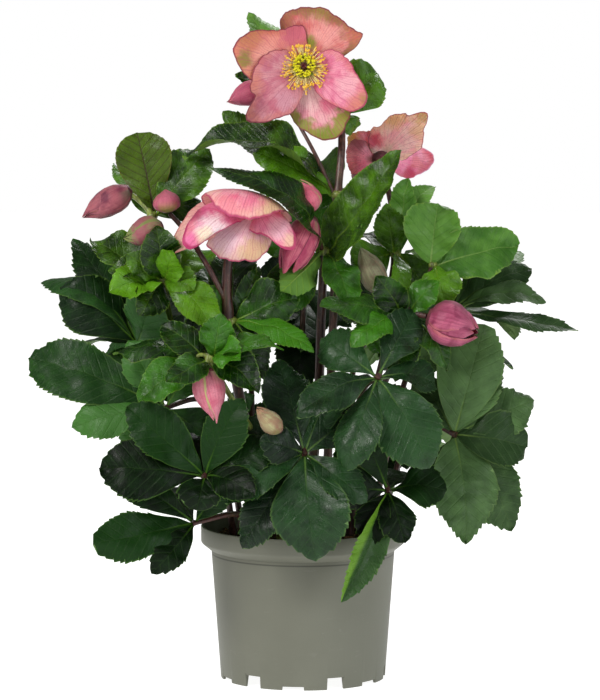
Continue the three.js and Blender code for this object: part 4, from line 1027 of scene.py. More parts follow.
whorls = {
    "bracts_under_a": dict(node=(26, -4, 415), along=(0, 0, 1), radius=3.1, bracts=[
        blade((-40, 16, 488), (0.3, -1, 0.2), 34, 4, skin=odd, shape=flatBlade),
        blade((-49, 16, 439), (0, -0.6, 0.8), 24, 4),
        blade((56, -4, 446), (-0.3, -1, 0.2), 38, 6, shape=broadBract),
        blade((37, 62, 423), back, 30, 6),
        blade((40, 4, 399), front, 15, 3),
    ]),
    "bracts_main": dict(node=(25, -24, 357), along=(0.02, 0, 1), radius=3.1, bracts=[
        blade((-58, -18, 418), (0.4, -0.9, 0.5), 34, 3),
        blade((-88, -34, 387), (0.25, -0.55, 0.9), 42, 27, shape=flatBlade),
        blade((-36, -46, 388), (0, -0.7, 0.7), 36, 7),
        blade((51, 38, 338), up, 28, 8),
        blade((-10, 44, 376), (0.2, 0.4, 1), 28, 8),
        blade((12, 24, 375), front, 32, 5),
    ]),
    "bracts_mid": dict(node=(15, -24, 316), along=(0.02, -0.1, 1), radius=3.7, bracts=[
        blade((71, -56, 391), (-0.5, -0.8, 0.3), 46, 4, fold=0.25, skin=odd, shape=bigBract),
        blade((-66, -76, 381), (0.2, -0.75, 0.6), 35, 30, shape=flatBlade),
        blade((-16, -60, 289), (0.3, 0.9, 0.3), 28, -6),
        blade((35, -58, 279), (0.3, -1, 0.2), 28, 8),
        blade((20, 52, 323), up, 32, 10),
        blade((-30, 10, 325), front, 34, 6),
        blade((-22, -34, 270), front, 36, 6),
        blade((46, 0, 262), (0.1, -0.8, 0.5), 34, 7),
        blade((14, 22, 354), front, 34, 5),
    ]),
    "bracts_under_c": dict(node=(67, 4, 312), along=(0, 0, 1), radius=2.5, bracts=[
        blade((60, -18, 351), front, 24, 3),
        blade((76, 2, 368), (-0.4, -1, 0), 22, 4, skin=odd),
        blade((95, 10, 368), (-0.2, -0.7, 0.7), 19, 8, skin=odd, shape=droopingBract),
        blade((67, -34, 282), (0.4, -1, 0.2), 18, 6),
        blade((36, -8, 299), front, 34, 6),
        blade((95, 14, 275), front, 30, 6),
        blade((80, 74, 325), up, 32, 8),
        blade((35, 60, 319), (-0.4, 0.3, 1), 26, 8),
    ]),
    "bracts_right": dict(node=(74, -46, 272), along=(-0.3, -0.4, 1), radius=2.2, bracts=[
        blade((12, -74, 278), (0, -0.5, 0.9), 28, 6),
        blade((33, -84, 256), (-0.1, -0.8, 0.6), 24, 6),
        blade((75, -70, 248), front, 14, 4),
        blade((104, -62, 233), (0.2, -0.6, 0.8), 22, 8),
        blade((56, -20, 240), front, 30, 5),
        blade((52, -62, 302), front, 24, 5),
        blade((98, -54, 296), (0.1, -0.8, 0.6), 24, 5),
        blade((66, -66, 226), front, 26, 6),
    ]),
    "bracts_far_right": dict(node=(94, -24, 306), along=(0.3, 0.3, 1), radius=1.6, bracts=[
        blade((98, -18, 350), front, 41, 3, skin=odd, shape=broadBract),
        blade((157, -14, 320), (-0.1, -0.85, 0.55), 40, 7, skin=odd, shape=flatBlade),
        blade((103, -48, 278), (0, -0.9, 0.5), 32, 6),
        blade((124, 46, 313), (0.3, 0.2, 1), 32, 8),
        blade((83, 50, 309), (-0.2, 0.4, 1), 30, 8),
    ]),
    "bracts_left": dict(node=(-101, -44, 297), along=(-0.2, 0, 1), radius=2.4, bracts=[
        blade((-153, -30, 322), (-0.1, -0.7, 0.7), 32, 6),
        blade((-138, -66, 290), (0, -0.9, 0.5), 28, 8),
        blade((-104, -66, 338), front, 30, 4),
        blade((-62, -78, 264), (0.1, -0.7, 0.7), 34, 8),
        blade((-106, 30, 301), (0, 0.3, 1), 32, 8),
        blade((-141, 22, 298), (-0.3, 0.2, 1), 30, 8),
        blade((-75, -8, 316), front, 34, 6),
        blade((-92, -70, 322), front, 24, 4),
        blade((-126, -66, 318), (-0.2, -0.9, 0.3), 24, 5),
        blade((-140, -58, 306), (-0.1, -0.7, 0.7), 22, 6),
        blade((-116, -72, 274), (0, -0.9, 0.4), 26, 6),
        blade((-78, -66, 292), (0.1, -0.8, 0.5), 24, 5),
    ]),
    "bracts_upper_left": dict(node=(-109, -32, 342), along=(-0.3, 0, 1), radius=2.4, bracts=[
        blade((-120, -24, 402), front, 40, 3, skin=odd, shape=bluntBract),
        blade((-67, -26, 391), (-0.2, -1, 0.2), 38, 4),
        blade((-113, 24, 379), (0, 0.6, 0.8), 30, 6),
        blade((-74, -22, 352), front, 22, 4),
        blade((-138, 30, 376), (-0.3, 0.3, 0.9), 26, 6),
    ]),
    "bracts_under_b": dict(node=(-53, -51, 268), along=(-0.05, -0.05, 1), radius=3.9, bracts=[
        blade((9, -82, 251), (0, -0.6, 0.8), 22, 8),
        blade((-2, -54, 285), (-0.2, -0.9, 0.5), 34, 6),
        blade((-30, -40, 308), front, 14, 3),
        blade((-79, 10, 303), up, 28, 8),
        blade((-39, 26, 281), (0, 0.3, 1), 32, 10),
        blade((-47, -14, 323), front, 36, 5),
        blade((-88, -14, 255), (-0.2, -0.7, 0.7), 34, 7),
        blade((-84, -62, 290), (0, -0.9, 0.5), 30, 6),
        blade((-82, -60, 246), (-0.1, -0.9, 0.4), 30, 7),
        blade((-30, -62, 228), (0.1, -0.9, 0.4), 30, 7),
    ]),
    "bracts_low": dict(node=(-66, -88, 245), along=(-0.35, -0.1, 1), radius=2.2, bracts=[
        blade((-30, -112, 224), (0.1, -0.9, 0.5), 28, 6),
        blade((-118, -100, 216), (-0.1, -0.9, 0.5), 28, 8),
        blade((-136, -78, 248), (-0.1, -0.6, 0.8), 28, 8),
        blade((-13, -102, 255), (0, -0.7, 0.7), 28, 8),
        blade((-89, -40, 258), (-0.2, -0.2, 1), 28, 8),
        blade((-96, -112, 230), (0, -0.9, 0.4), 24, 6),
        blade((-44, -114, 246), (0.1, -0.7, 0.7), 22, 5),
        blade((-102, -84, 270), (-0.1, -0.8, 0.6), 26, 6),
        blade((-58, -96, 278), front, 26, 5),
    ]),
}

leaves = {
    "leaf_rim_left": dict(foot=(-46, -22), rise=(-47, -48, 127), hub=(-78, -62, 123), leaflets=[
        blade((-150, -90, 112), (-0.2, -0.9, 0.4), 34, 4, shape=bluntLeaf),
        blade((-108, -88, 90), (0, -1, 0.3), 23, 5),
        blade((-138, -70, 165), (-0.1, -0.9, 0.4), 28, 3),
        blade((-113, 22, 136), (-0.2, 0.2, 1), 32, 8),
        blade((-54, -78, 158), front, 24, 4),
    ]),
    "leaf_left_low": dict(foot=(-36, -34), rise=(-48, -62, 181), hub=(-70, -90, 161), leaflets=[
        blade((-126, -92, 212), (0.2, -0.9, 0.4), 36, 7),
        blade((-146, -98, 169), (0, -0.9, 0.4), 46, 8),
        blade((-42, -102, 218), (-0.2, -0.9, 0.4), 32, 5),
        blade((-34, -122, 151), (0.1, -0.9, 0.5), 28, 8),
        blade((-75, -107, 138), front, 30, 5),
        blade((-118, -40, 156), (-0.2, -0.3, 1), 34, 8),
        blade((-89, -20, 176), (-0.1, 0.2, 1), 32, 8),
        blade((-18, -96, 184), front, 30, 6),
        blade((-96, -70, 192), front, 32, 6),
    ]),
    "leaf_left_mid": dict(foot=(-50, -6), rise=(-71, -34, 207), hub=(-99, -58, 206), leaflets=[
        blade((-199, -34, 239), (0, -0.85, 0.5), 44, 11, shape=bluntLeaf),
        blade((-188, -18, 244), (0.1, -0.9, 0.4), 26, 4),
        blade((-166, -62, 192), (0, -0.85, 0.55), 34, 8),
        blade((-142, 6, 239), (-0.2, -0.3, 1), 32, 8),
        blade((-156, 10, 186), (-0.3, 0, 1), 34, 9),
        blade((-120, 28, 177), (-0.2, 0.3, 1), 34, 9),
        blade((-61, -44, 179), front, 34, 5),
        blade((-126, -50, 254), front, 32, 6),
        blade((-70, -40, 244), front, 32, 6),
        blade((-128, -56, 166), front, 32, 7),
    ]),
    "leaf_left_high": dict(foot=(-44, 16), rise=(-75, -8, 240), hub=(-120, -28, 249), leaflets=[
        blade((-178, -26, 291), (0.1, -0.9, 0.4), 46, 6),
        blade((-169, 4, 321), (0.3, -0.9, 0.3), 30, 6),
        blade((-193, 6, 292), (0, -0.5, 0.9), 28, 23, shape=flatBlade),
        blade((-108, -56, 290), front, 36, 6),
        blade((-172, 30, 234), (-0.3, 0, 1), 34, 9),
        blade((-136, 56, 271), (-0.2, 0.3, 1), 34, 9),
        blade((-83, 24, 274), (0.1, 0.1, 1), 34, 9),
        blade((-82, -14, 211), front, 36, 6),
    ]),
    "leaf_front": dict(foot=(6, -44), rise=(-2, -64, 203), hub=(1, -88, 177), leaflets=[
        blade((9, -116, 103), (0, -0.95, 0.3), 56, 12),
        blade((-56, -112, 145), (0, -0.8, 0.6), 36, 8),
        blade((-45, -104, 111), (-0.1, -0.9, 0.4), 32, 7),
        blade((-31, -106, 189), front, 26, 5),
        blade((45, -104, 144), (0.1, -0.9, 0.5), 32, 8),
        blade((-18, -64, 242), front, 38, 5),
        blade((19, -58, 230), front, 34, 5),
        blade((-46, -72, 196), front, 32, 6),
        blade((44, -62, 206), front, 32, 6),
        blade((-22, -92, 128), front, 32, 6),
    ]),
    "leaf_rim_right": dict(foot=(40, -34), rise=(50, -50, 172), hub=(61, -72, 148), leaflets=[
        blade((72, -90, 113), front, 28, 6),
        blade((103, -78, 149), (0.1, -0.7, 0.7), 38, 6),
        blade((35, -80, 211), front, 28, 5),
        blade((27, -108, 73), (0.5, -0.8, 0.2), 24, 6, fold=0.5, skin=odd, shape=hangingLeaf),
        blade((84, -12, 145), (0.2, 0.2, 1), 30, 8),
        blade((45, -94, 111), front, 26, 5),
        blade((24, -74, 150), front, 30, 6),
    ]),
    "leaf_right_front": dict(foot=(26, -42), rise=(42, -62, 217), hub=(53, -82, 231), leaflets=[
        blade((90, -106, 168), (0, -0.9, 0.4), 48, 8),
        blade((-6, -108, 207), (0, -0.7, 0.7), 30, 8),
        blade((29, -116, 169), (-0.1, -0.9, 0.4), 34, 7),
        blade((98, -66, 223), (0.2, -0.5, 0.9), 28, 7),
        blade((70, -54, 180), front, 36, 5),
        blade((20, -24, 205), (0, -0.5, 0.9), 34, 7),
        blade((12, -52, 258), front, 32, 6),
        blade((80, -50, 276), front, 32, 6),
    ]),
    "leaf_right_low": dict(foot=(54, -10), rise=(85, -16, 190), hub=(110, -30, 183), leaflets=[
        blade((131, -30, 264), front, 47, 5, shape=broadLeaf),
        blade((165, -30, 174), (0.1, -0.9, 0.4), 42, 7, shape=broadLeaf),
        blade((168, -14, 206), (0.1, -0.9, 0.4), 36, 6),
        blade((118, -62, 107), front, 50, 9, shape=pointedLeaf),
        blade((154, -34, 112), (0.1, -0.95, 0.3), 44, 8, shape=pointedLeaf),
        blade((85, -24, 132), front, 34, 6),
        blade((150, 48, 189), (0.3, 0.1, 1), 36, 8),
        blade((117, 54, 166), (0.1, 0.3, 1), 36, 8),
        blade((84, -4, 222), front, 34, 6),
        blade((140, -10, 236), front, 32, 6),
    ]),
    "leaf_right_high": dict(foot=(48, 18), rise=(86, 8, 246), hub=(109, 6, 270), leaflets=[
        blade((167, 14, 299), (-0.1, -0.8, 0.6), 38, 7),
        blade((179, 0, 278), (0, -0.7, 0.7), 22, 12, shape=flatBlade),
        blade((201, -8, 258), (0, -0.5, 0.9), 18, 0, shape=flatBlade),
        blade((162, 52, 311), (0, -0.5, 0.9), 34, 8),
        blade((162, 66, 247), (0.2, 0.2, 1), 34, 9),
        blade((126, 92, 259), (0.1, 0.4, 0.9), 34, 9),
        blade((88, 70, 247), (-0.1, 0.3, 1), 34, 9),
        blade((85, -12, 224), front, 34, 6),
        blade((76, -20, 262), front, 32, 6),
    ]),
    "leaf_back_left": backLeaf((-38, 36), (-78, 70, 262), 142, [
        (-110, 20, 268), (-72, 14, 232), (-96, 18, 300),
    ]),
    "leaf_back": backLeaf((0, 46), (4, 98, 276), 92, [
        (-42, 34, 252), (-2, 30, 238), (36, 34, 256), (-30, 30, 296),
        (-6, 8, 204),
    ]),
    "leaf_back_right": backLeaf((36, 38), (84, 72, 250), 40, [
        (62, 20, 226), (72, 26, 282), (110, 24, 296),
    ]),
    "leaf_back_low_left": backLeaf((-28, 56), (-52, 92, 168), 122, [
        (-80, 32, 186), (-30, 28, 150), (-58, 34, 124), (-14, 34, 186),
        (-36, 20, 206),
    ]),
    "leaf_back_low_right": backLeaf((28, 58), (50, 94, 172), 62, [
        (20, 30, 196), (66, 30, 140), (34, 30, 134), (78, 34, 204),
    ]),
}


petiole = dict(
    radius=2.5, narrowing=0.75,  # radius at the foot, and how much of it is lost by the hub
    flare=0.9, flareShare=0.05,  # how much wider it is at the foot, and over what share of its length
    knob=0.7, knobShare=0.03,  # the same at the hub
    sides=14, ribs=3, ribDepth=0.08,
)


def petioleParts(leaf, rng):
    foot = (*leaf["foot"], soilHeight(*leaf["foot"]) + stemLook["clearance"])
    path = curvePoints([foot, leaf["rise"], stepOut(leaf["hub"], leaf["rise"], -hubBeyond)], stemLook["step"])
    share = np.linspace(0, 1, len(path))
    radii = petiole["radius"] - petiole["narrowing"] * share
    radii = radii + petiole["flare"] * np.exp(-(share / petiole["flareShare"]) ** 2)
    radii = radii + petiole["knob"] * np.exp(-((1 - share) / petiole["knobShare"]) ** 2)
    look = {key: petiole[key] for key in ("sides", "ribs", "ribDepth")}
    return [tubePart(path, radii, seed=rng.uniform(0, 6), slot=3, **look)]


def leafParts(name, leaf):
    rng = random.Random(name)
    parts = petioleParts(leaf, rng)
    for leaflet in leaf["leaflets"]:
        parts += bladeParts(leaflet, stepOut(leaf["hub"], leaflet["tip"], hubReach), leafStyle, rng)
    return parts


def sleeveParts(whorl):
    # the ring from which the bracts of one node grow
    axis = unit(whorl["along"])
    node = np.asarray(whorl["node"], float)
    path = np.array([node + axis * z for z in (-3.2, -2.2, -0.8, 0.8, 2.2, 3.2)])
    radii = whorl["radius"] + np.array([-0.3, 0.9, 1.7, 1.8, 1.1, -0.3])
    return [tubePart(path, radii, sides=20, ribs=5, ribDepth=0.06, slot=3)]


def whorlParts(name, whorl):
    rng = random.Random(name)
    axis = unit(whorl["along"])
    parts = sleeveParts(whorl)
    for bract in whorl["bracts"]:
        base = stepOut(whorl["node"], bract["tip"], whorl["radius"] + 0.6, axis)
        parts += bladeParts(bract, base, bractStyle, rng)
    return parts


for name, stem in stems.items():
    skins = [stemMaterials[stem["look"]]]
    addPiece(name + "_stalk", stemParts(name, stem), skins, name)
print("stems made")

foldedUpper = upperMaterial("foldedUpper", bladePaint["leafFolded"], leafStyle)
lightUpper = upperMaterial("lightUpper", bladePaint["bractLight"], bractStyle)
oliveUpper = upperMaterial("oliveUpper", bladePaint["bractOlive"], bractStyle)
leafSets = {
    look: bladeSet(look, leafStyle, stemMaterials["wine"], foldedUpper)
    for look in ("leaf", "leafGrey", "leafMid", "leafDark", "leafBlue")
}
for name, leaf in leaves.items():
    skins = leafSets[leafLooks.get(name, "leaf")]
    addPiece(name + "_blades", leafParts(name, leaf), skins, name)
print("leaves made")
bractSets = {
    look: bladeSet(look, bractStyle, stemMaterials["green"], lightUpper) for look in ("bract", "bractDeep")
}
oddSkins = {"bracts_upper_left": oliveUpper, "bracts_mid": bractSets["bract"][0]}
for name, whorl in whorls.items():
    skins = bractSets[whorlLooks.get(name, "bract")][:4] + [oddSkins.get(name, lightUpper)]
    addPiece(name + "_blades", whorlParts(name, whorl), skins, name)
print("bracts made")


# flowers: five veined petals round a centre of nectaries, stamens and styles

petalForm = dict(
    base=5.8,  # how far from the flower's axis a petal starts
    tilt=0.3,  # how far the face of a petal leans inward, unless its row names a face
    thickness=0.5, rows=32, columns=71,
    veins=5.2,  # to a radian, near the base
    pleat=0.22,
)
roseColour = dict(
    pale=srgb(228, 150, 160), deep=srgb(206, 92, 122),
    claw=srgb(178, 120, 112), clawTo=0.28,  # near the base, and how far out it reaches
    vein=srgb(168, 62, 96), veinShow=0.4,
    rim=srgb(116, 30, 52), rimFrom=0.96,
    warm=srgb(204, 122, 96), warmFrom=0.72, warmShow=0.35,  # a ragged tint in the outer part
    through=0.15,  # how much light comes through
)
# colours that several petals share
olive, tan, leafy = srgb(140, 122, 48), srgb(222, 190, 144), srgb(128, 142, 26)
orange, wine, crimson = srgb(200, 110, 82), srgb(150, 28, 74), srgb(166, 26, 88)


def petal(tip, width, arch, cup, lift, rolls=(), spots=(), **more):
    # rim has rows of (degrees from the petal's middle line, millimetres from its base)
    # rolls has rows of (degrees from that line, reach to its sides, share where it starts, degrees of roll)
    # spots has rows of (millimetres from the base, millimetres sideways, radius, colour, strength)
    return dict(tip=tip, width=width, arch=arch, cup=cup, lift=lift, rolls=rolls, spots=spots, **more)


hanging = (-0.1, -0.9, 0.35)  # the face of petals that hang and show their outer side
flowers = {
    "flower_a": dict(centre=(1, -16, 448), axis=(-0.05, -0.97, 0.24), petals={
        "top": petal((14, -26, 489), 60, -3, -0.1, 0, rise=-2, ruffle=1.8, rim=[
            (-84, 17), (-64, 27), (-52, 41), (-47, 47), (-41, 41), (-31, 40), (-14, 40.5), (-3, 42.5),
            (13, 40.5), (21, 40), (43, 38), (53, 37.5), (59, 31), (78, 20),
        ], rolls=[(-46, 8, 0.62, -60), (57, 14, 0.8, 60), (10, 30, 0.84, 30)], paint=dict(
            pale=srgb(214, 146, 136), deep=srgb(198, 98, 94), warm=srgb(138, 106, 58), warmFrom=0.7,
            warmShow=0.85,
        ), spots=[
            (38, 2, 9, olive, 0.7), (32, -30, 12, orange, 0.85), (22, 26, 9, srgb(176, 112, 84), 0.7),
            (22, -6, 11, srgb(236, 172, 164), 0.6), (12, 3, 7, srgb(122, 134, 34), 0.95),
        ]),
        "left": petal((-49, -32, 463), 44, -3, 0, 1.3, lean=-0.12, ruffle=1.0, rim=[
            (-104, 17), (-93, 22), (-83, 30), (-74, 31), (-60, 29.5), (-45, 29.5), (-29, 38), (-18, 45),
            (-7, 49), (3, 50), (10, 45), (19, 41), (26, 38.6), (36, 32), (51, 24.3), (74, 17),
        ], rolls=[(-70, 22, 0.6, 45), (-34, 20, 0.85, 45), (8, 12, 0.84, -35)], paint=dict(
            pale=srgb(226, 152, 132), deep=srgb(208, 118, 110), warm=srgb(196, 116, 76), warmShow=0.5,
        ), spots=[
            (38, -10, 12, srgb(188, 118, 74), 0.8), (39, 5, 8, srgb(132, 122, 44), 0.9),
            (8, -24, 14, srgb(196, 92, 114), 0.85), (24, -2, 12, srgb(234, 164, 148), 0.6),
        ]),
        "lower_left": petal((-43, -36, 416), 48, -4, 0.08, 2.6, lean=-0.16, rise=4, ruffle=0.9, rim=[
            (-118, 14.5), (-104, 17), (-87, 20.3), (-71, 25.7), (-53, 29.5), (-37, 33), (-23, 36.4),
            (-13, 39.8), (-5, 41), (-1, 45.2), (1, 51.8), (3, 56), (7, 55), (17, 47.1), (25, 38.9),
            (40, 32.1), (52, 22.7), (66, 14), (84, 9),
        ], rolls=[(-4, 9, 0.66, 60), (10, 20, 0.93, -30)], paint=dict(
            pale=srgb(210, 148, 154), deep=srgb(188, 100, 120), vein=srgb(150, 66, 94),
        ), spots=[
            (34, -14, 12, srgb(200, 126, 104), 0.6), (50, 3, 9, srgb(176, 104, 86), 0.5),
            (20, 10, 10, srgb(206, 156, 168), 0.6),
        ]),
        "bottom": petal((16, -30, 396), 46, -4, -0.1, 0, ruffle=1.2, rim=[
            (-84, 12), (-62, 18), (-50, 24), (-40, 30), (-30, 35), (-17, 40.5), (-7, 46), (1, 50.6),
            (8, 51.9), (14, 50.5), (22, 46.4), (33, 42.5), (40, 37.3), (53, 24), (74, 16.7), (90, 11),
        ], rolls=[(5, 26, 0.86, 30)], paint=dict(
            pale=srgb(232, 170, 176), deep=srgb(214, 104, 134), warm=leafy, warmFrom=0.66, warmShow=0.9,
        ), spots=[
            (46, 2, 9, srgb(116, 134, 20), 0.7), (40, -20, 8, leafy, 0.6),
            (16, -4, 12, srgb(232, 196, 192), 0.6),
        ]),
        "right": petal((47, -34, 426), 42, -4, 0.12, 2.6, lean=-0.05, rise=3, ruffle=1.4, rim=[
            (-52, 12), (-40, 22), (-28, 32), (-22, 38.8), (-19, 44.4), (-12, 48.2), (-3, 48.8), (4, 46.2),
            (15, 37.5), (24, 33), (32, 32), (42, 31), (52, 26), (66, 24), (80, 20), (91, 16), (104, 12),
        ], rolls=[(40, 12, 0.7, 70), (84, 12, 0.8, 40), (-30, 14, 0.8, 40)], paint=dict(
            pale=srgb(228, 146, 166), deep=srgb(208, 98, 134), rim=srgb(150, 30, 76),
        ), spots=[
            (44, -6, 11, srgb(204, 120, 96), 0.75), (47, 0, 6, olive, 0.6),
            (28, 4, 11, srgb(236, 182, 188), 0.65),
        ]),
    }),
    "flower_b": dict(centre=(-37, -54, 349), axis=(-0.25, -0.45, -0.86), gathered=0.6, petals={
        "hood": petal((-46, -100, 348), 60, -14, 0.26, -1, ruffle=1.2, rim=[
            (-104, 20), (-92, 27), (-82, 33), (-70, 34), (-55, 35), (-40, 38), (-20, 42), (0, 42), (20, 41),
            (45, 38), (62, 36), (76, 36), (88, 32), (104, 22),
        ], rolls=[(-10, 60, 0.72, 50)], paint=dict(
            pale=srgb(244, 174, 184), deep=srgb(228, 116, 144), rim=crimson, warm=tan,
        ), spots=[
            (30, -24, 14, tan, 0.8), (36, 10, 12, srgb(226, 92, 126), 0.6),
            (12, -22, 9, srgb(236, 200, 160), 0.6),
        ]),
        "left": petal((-80, -86, 322), 46, 7, -0.2, 0.5, face=hanging, rise=3, ruffle=0.8, rim=[
            (-70, 10), (-50, 18), (-39, 28), (-34, 35), (-28, 40), (-22, 46), (-13, 53), (-7, 57.5),
            (-3, 58), (0, 56), (3, 50), (5, 38), (12, 30), (21, 23), (36, 16), (60, 10),
        ], rolls=[(-30, 14, 0.8, -80), (8, 12, 0.8, -50)], paint=dict(
            pale=srgb(228, 142, 172), deep=srgb(210, 88, 134), rim=crimson, rimFrom=0.94,
            claw=srgb(220, 96, 128),
        ), spots=[
            (35, 0, 13, srgb(250, 226, 230), 0.95), (43, 0, 8, srgb(240, 222, 190), 0.8),
            # the wine patch 36 mm out and 18 mm to the side sits on the rolled-under margin: partly the
            # margin's own crimson, partly painted shade of the fold
            (36, -18, 9, wine, 0.85), (54, -5, 8, srgb(222, 96, 156), 0.7),
            (20, 4, 7, srgb(196, 74, 126), 0.6),
        ]),
        "front": petal((-42, -77, 312), 54, 8, -0.25, 2.2, face=hanging, rise=-2, ruffle=0.8, rim=[
            (-75, 9), (-60, 20), (-52, 30), (-48, 41), (-44, 44.5), (-36, 43), (-26, 43), (-16, 41.5),
            (-3, 39), (10, 39), (18, 36.5), (26, 33), (34, 28), (45, 21), (62, 13),
        ], rolls=[(0, 40, 0.86, -30)], paint=dict(
            pale=srgb(232, 192, 198), deep=srgb(216, 160, 176), rim=srgb(176, 60, 100), warm=tan,
            claw=srgb(222, 156, 168),
        ), spots=[
            (32, 6, 14, srgb(202, 168, 122), 0.8), (26, -18, 12, srgb(220, 190, 202), 0.6),
        ]),
        "right": petal((-5, -86, 324), 40, 7, -0.2, 0.5, face=hanging, rise=3, ruffle=1.6, rim=[
            (-112, 9), (-87, 12.5), (-64, 15), (-51, 20), (-39, 24.5), (-27, 27), (-19, 31), (-14, 37),
            (-11, 43), (-5, 47.5), (-1, 49), (5, 43.5), (11, 37.5), (16, 33), (22, 25), (36, 14), (60, 8),
        ], rolls=[(24, 14, 0.7, -60), (-60, 20, 0.8, -30)], paint=dict(
            # this petal's pale, deep and claw colours are lightened: painted light against the shadow that
            # the hood casts on it
            pale=srgb(240, 156, 184), deep=srgb(224, 112, 154), rim=crimson, rimFrom=0.93,
            claw=srgb(226, 112, 150),
        ), spots=[
            (30, 0, 12, srgb(236, 186, 196), 0.75), (43, 0, 7, srgb(228, 190, 160), 0.8),
            (15, 13, 6, wine, 0.6),
        ]),
        "back": petal((-93, -58, 316), 34, 8, -0.1, 2.2, face=hanging, ruffle=0.8, rim=[
            (-60, 20), (-45, 30), (-33, 37), (-21, 44.5), (-10, 54), (-6, 60), (0, 58.5), (3, 50), (8, 38),
            (20, 24), (40, 14),
        ], paint=dict(
            pale=srgb(226, 160, 164), deep=srgb(208, 120, 138), rim=srgb(186, 110, 110), warm=tan,
        ), spots=[
            (50, -4, 10, srgb(226, 184, 160), 0.7),
        ]),
    }),
    # the pale and deep colours of flower C's top, left and right petals are lightened past their own colour:
    # painted light that makes up for the shade on this flower
    "flower_c": dict(centre=(57, 20, 380), axis=(0.3, 0.93, -0.2), gathered=0.6, petals={
        "top": petal((92, 30, 414), 42, -4, 0.05, 0, ruffle=1.4, rise=-3, rim=[
            (-131, 10), (-107, 14), (-94, 17), (-75, 21.5), (-67, 22), (-56, 19.5), (-47, 22.5), (-41, 26),
            (-25, 29.5), (-17, 32.5), (-10, 30.5), (-6, 35), (-3, 40), (1, 42.5), (5, 43.5), (9, 40),
            (16, 33), (31, 28.5), (42, 28), (52, 21), (75, 13),
        ], rolls=[(3, 12, 0.7, -50), (-20, 20, 0.85, -40)], paint=dict(
            through=0.55, pale=srgb(255, 222, 210), deep=srgb(246, 170, 182), claw=srgb(206, 190, 172),
            veinShow=0.5, vein=srgb(150, 50, 84), warm=tan,
        ), spots=[
            (23, -13, 11, srgb(220, 184, 130), 0.9), (40, 1, 11, srgb(176, 154, 98), 0.95),
            (28, 7, 9, tan, 0.75), (0, -14, 8, srgb(212, 64, 100), 0.85),
        ]),
        "upper_left": petal((35, 42, 400), 34, -4, 0.1, 2.4, ruffle=0.8, rim=[
            (-45, 9), (-29, 17), (-25, 24), (-12, 27.5), (-3, 28), (6, 23.5), (25, 19.5), (35, 18),
            (44, 12), (60, 8),
        ], paint=dict(
            through=0.55, pale=srgb(240, 176, 188), deep=srgb(228, 136, 168), veinShow=0.5,
            rim=srgb(170, 110, 90),
        ), spots=[
            (25, -5, 10, srgb(214, 186, 104), 0.95),
        ]),
        "left": petal((33, 34, 377), 34, -4, 0.1, 1.2, ruffle=1.0, rise=-2, rim=[
            (-75, 8), (-53, 12), (-33, 18.5), (-11, 19.5), (0, 22), (9, 22), (17, 24), (36, 23), (49, 21),
            (69, 14.5), (90, 9),
        ], rolls=[(-10, 20, 0.85, -30)], paint=dict(
            through=0.55, pale=srgb(252, 170, 186), deep=srgb(232, 120, 150), claw=srgb(120, 84, 80),
            veinShow=0.6, vein=srgb(140, 40, 76),
        ), spots=[
            (10, 14, 9, srgb(150, 70, 84), 0.7),
        ]),
        "bottom": petal((47, 40, 357), 34, -4, 0.1, 2.4, ruffle=0.6, rise=-4, rim=[
            (-70, 7), (-51, 11), (-10, 18.5), (7, 27), (15, 31.5), (20, 32), (26, 30), (33, 25), (40, 16),
            (60, 9),
        ], paint=dict(
            through=0.55, pale=srgb(150, 30, 66), deep=srgb(106, 14, 42), claw=srgb(90, 30, 44),
            veinShow=0.4, vein=srgb(84, 10, 36), rim=srgb(190, 90, 130),
        )),
        "right": petal((94, 44, 374), 36, -4, 0.1, 1.2, ruffle=1.0, rim=[
            (-60, 9), (-42, 16), (-27, 25), (-19, 35), (-11, 41.5), (-4, 41.5), (4, 36), (13, 30), (25, 25),
            (37, 21.5), (49, 15), (69, 10),
        ], rolls=[(-10, 16, 0.74, -90), (20, 20, 0.85, -50)], paint=dict(
            through=0.55, pale=srgb(252, 184, 206), deep=srgb(238, 132, 176), claw=srgb(200, 130, 130),
            veinShow=0.4, rim=srgb(232, 176, 206),
        ), spots=[
            (18, 9, 7, srgb(186, 24, 84), 0.8), (24, 0, 8, srgb(222, 124, 110), 0.5),
        ]),
    }),
}


def rolled(distance, rim, bend, start):
    # carries the outer part of a petal round a curve; bend is how far it turns by the rim, in radians
    begin = start * rim
    beyond = np.maximum(distance - begin, 0)
    curve = np.where(np.abs(bend) < 1e-3, 1e-3, bend) / (rim - begin)
    inner = np.minimum(distance, begin)
    return inner + np.sin(curve * beyond) / curve, (1 - np.cos(curve * beyond)) / curve


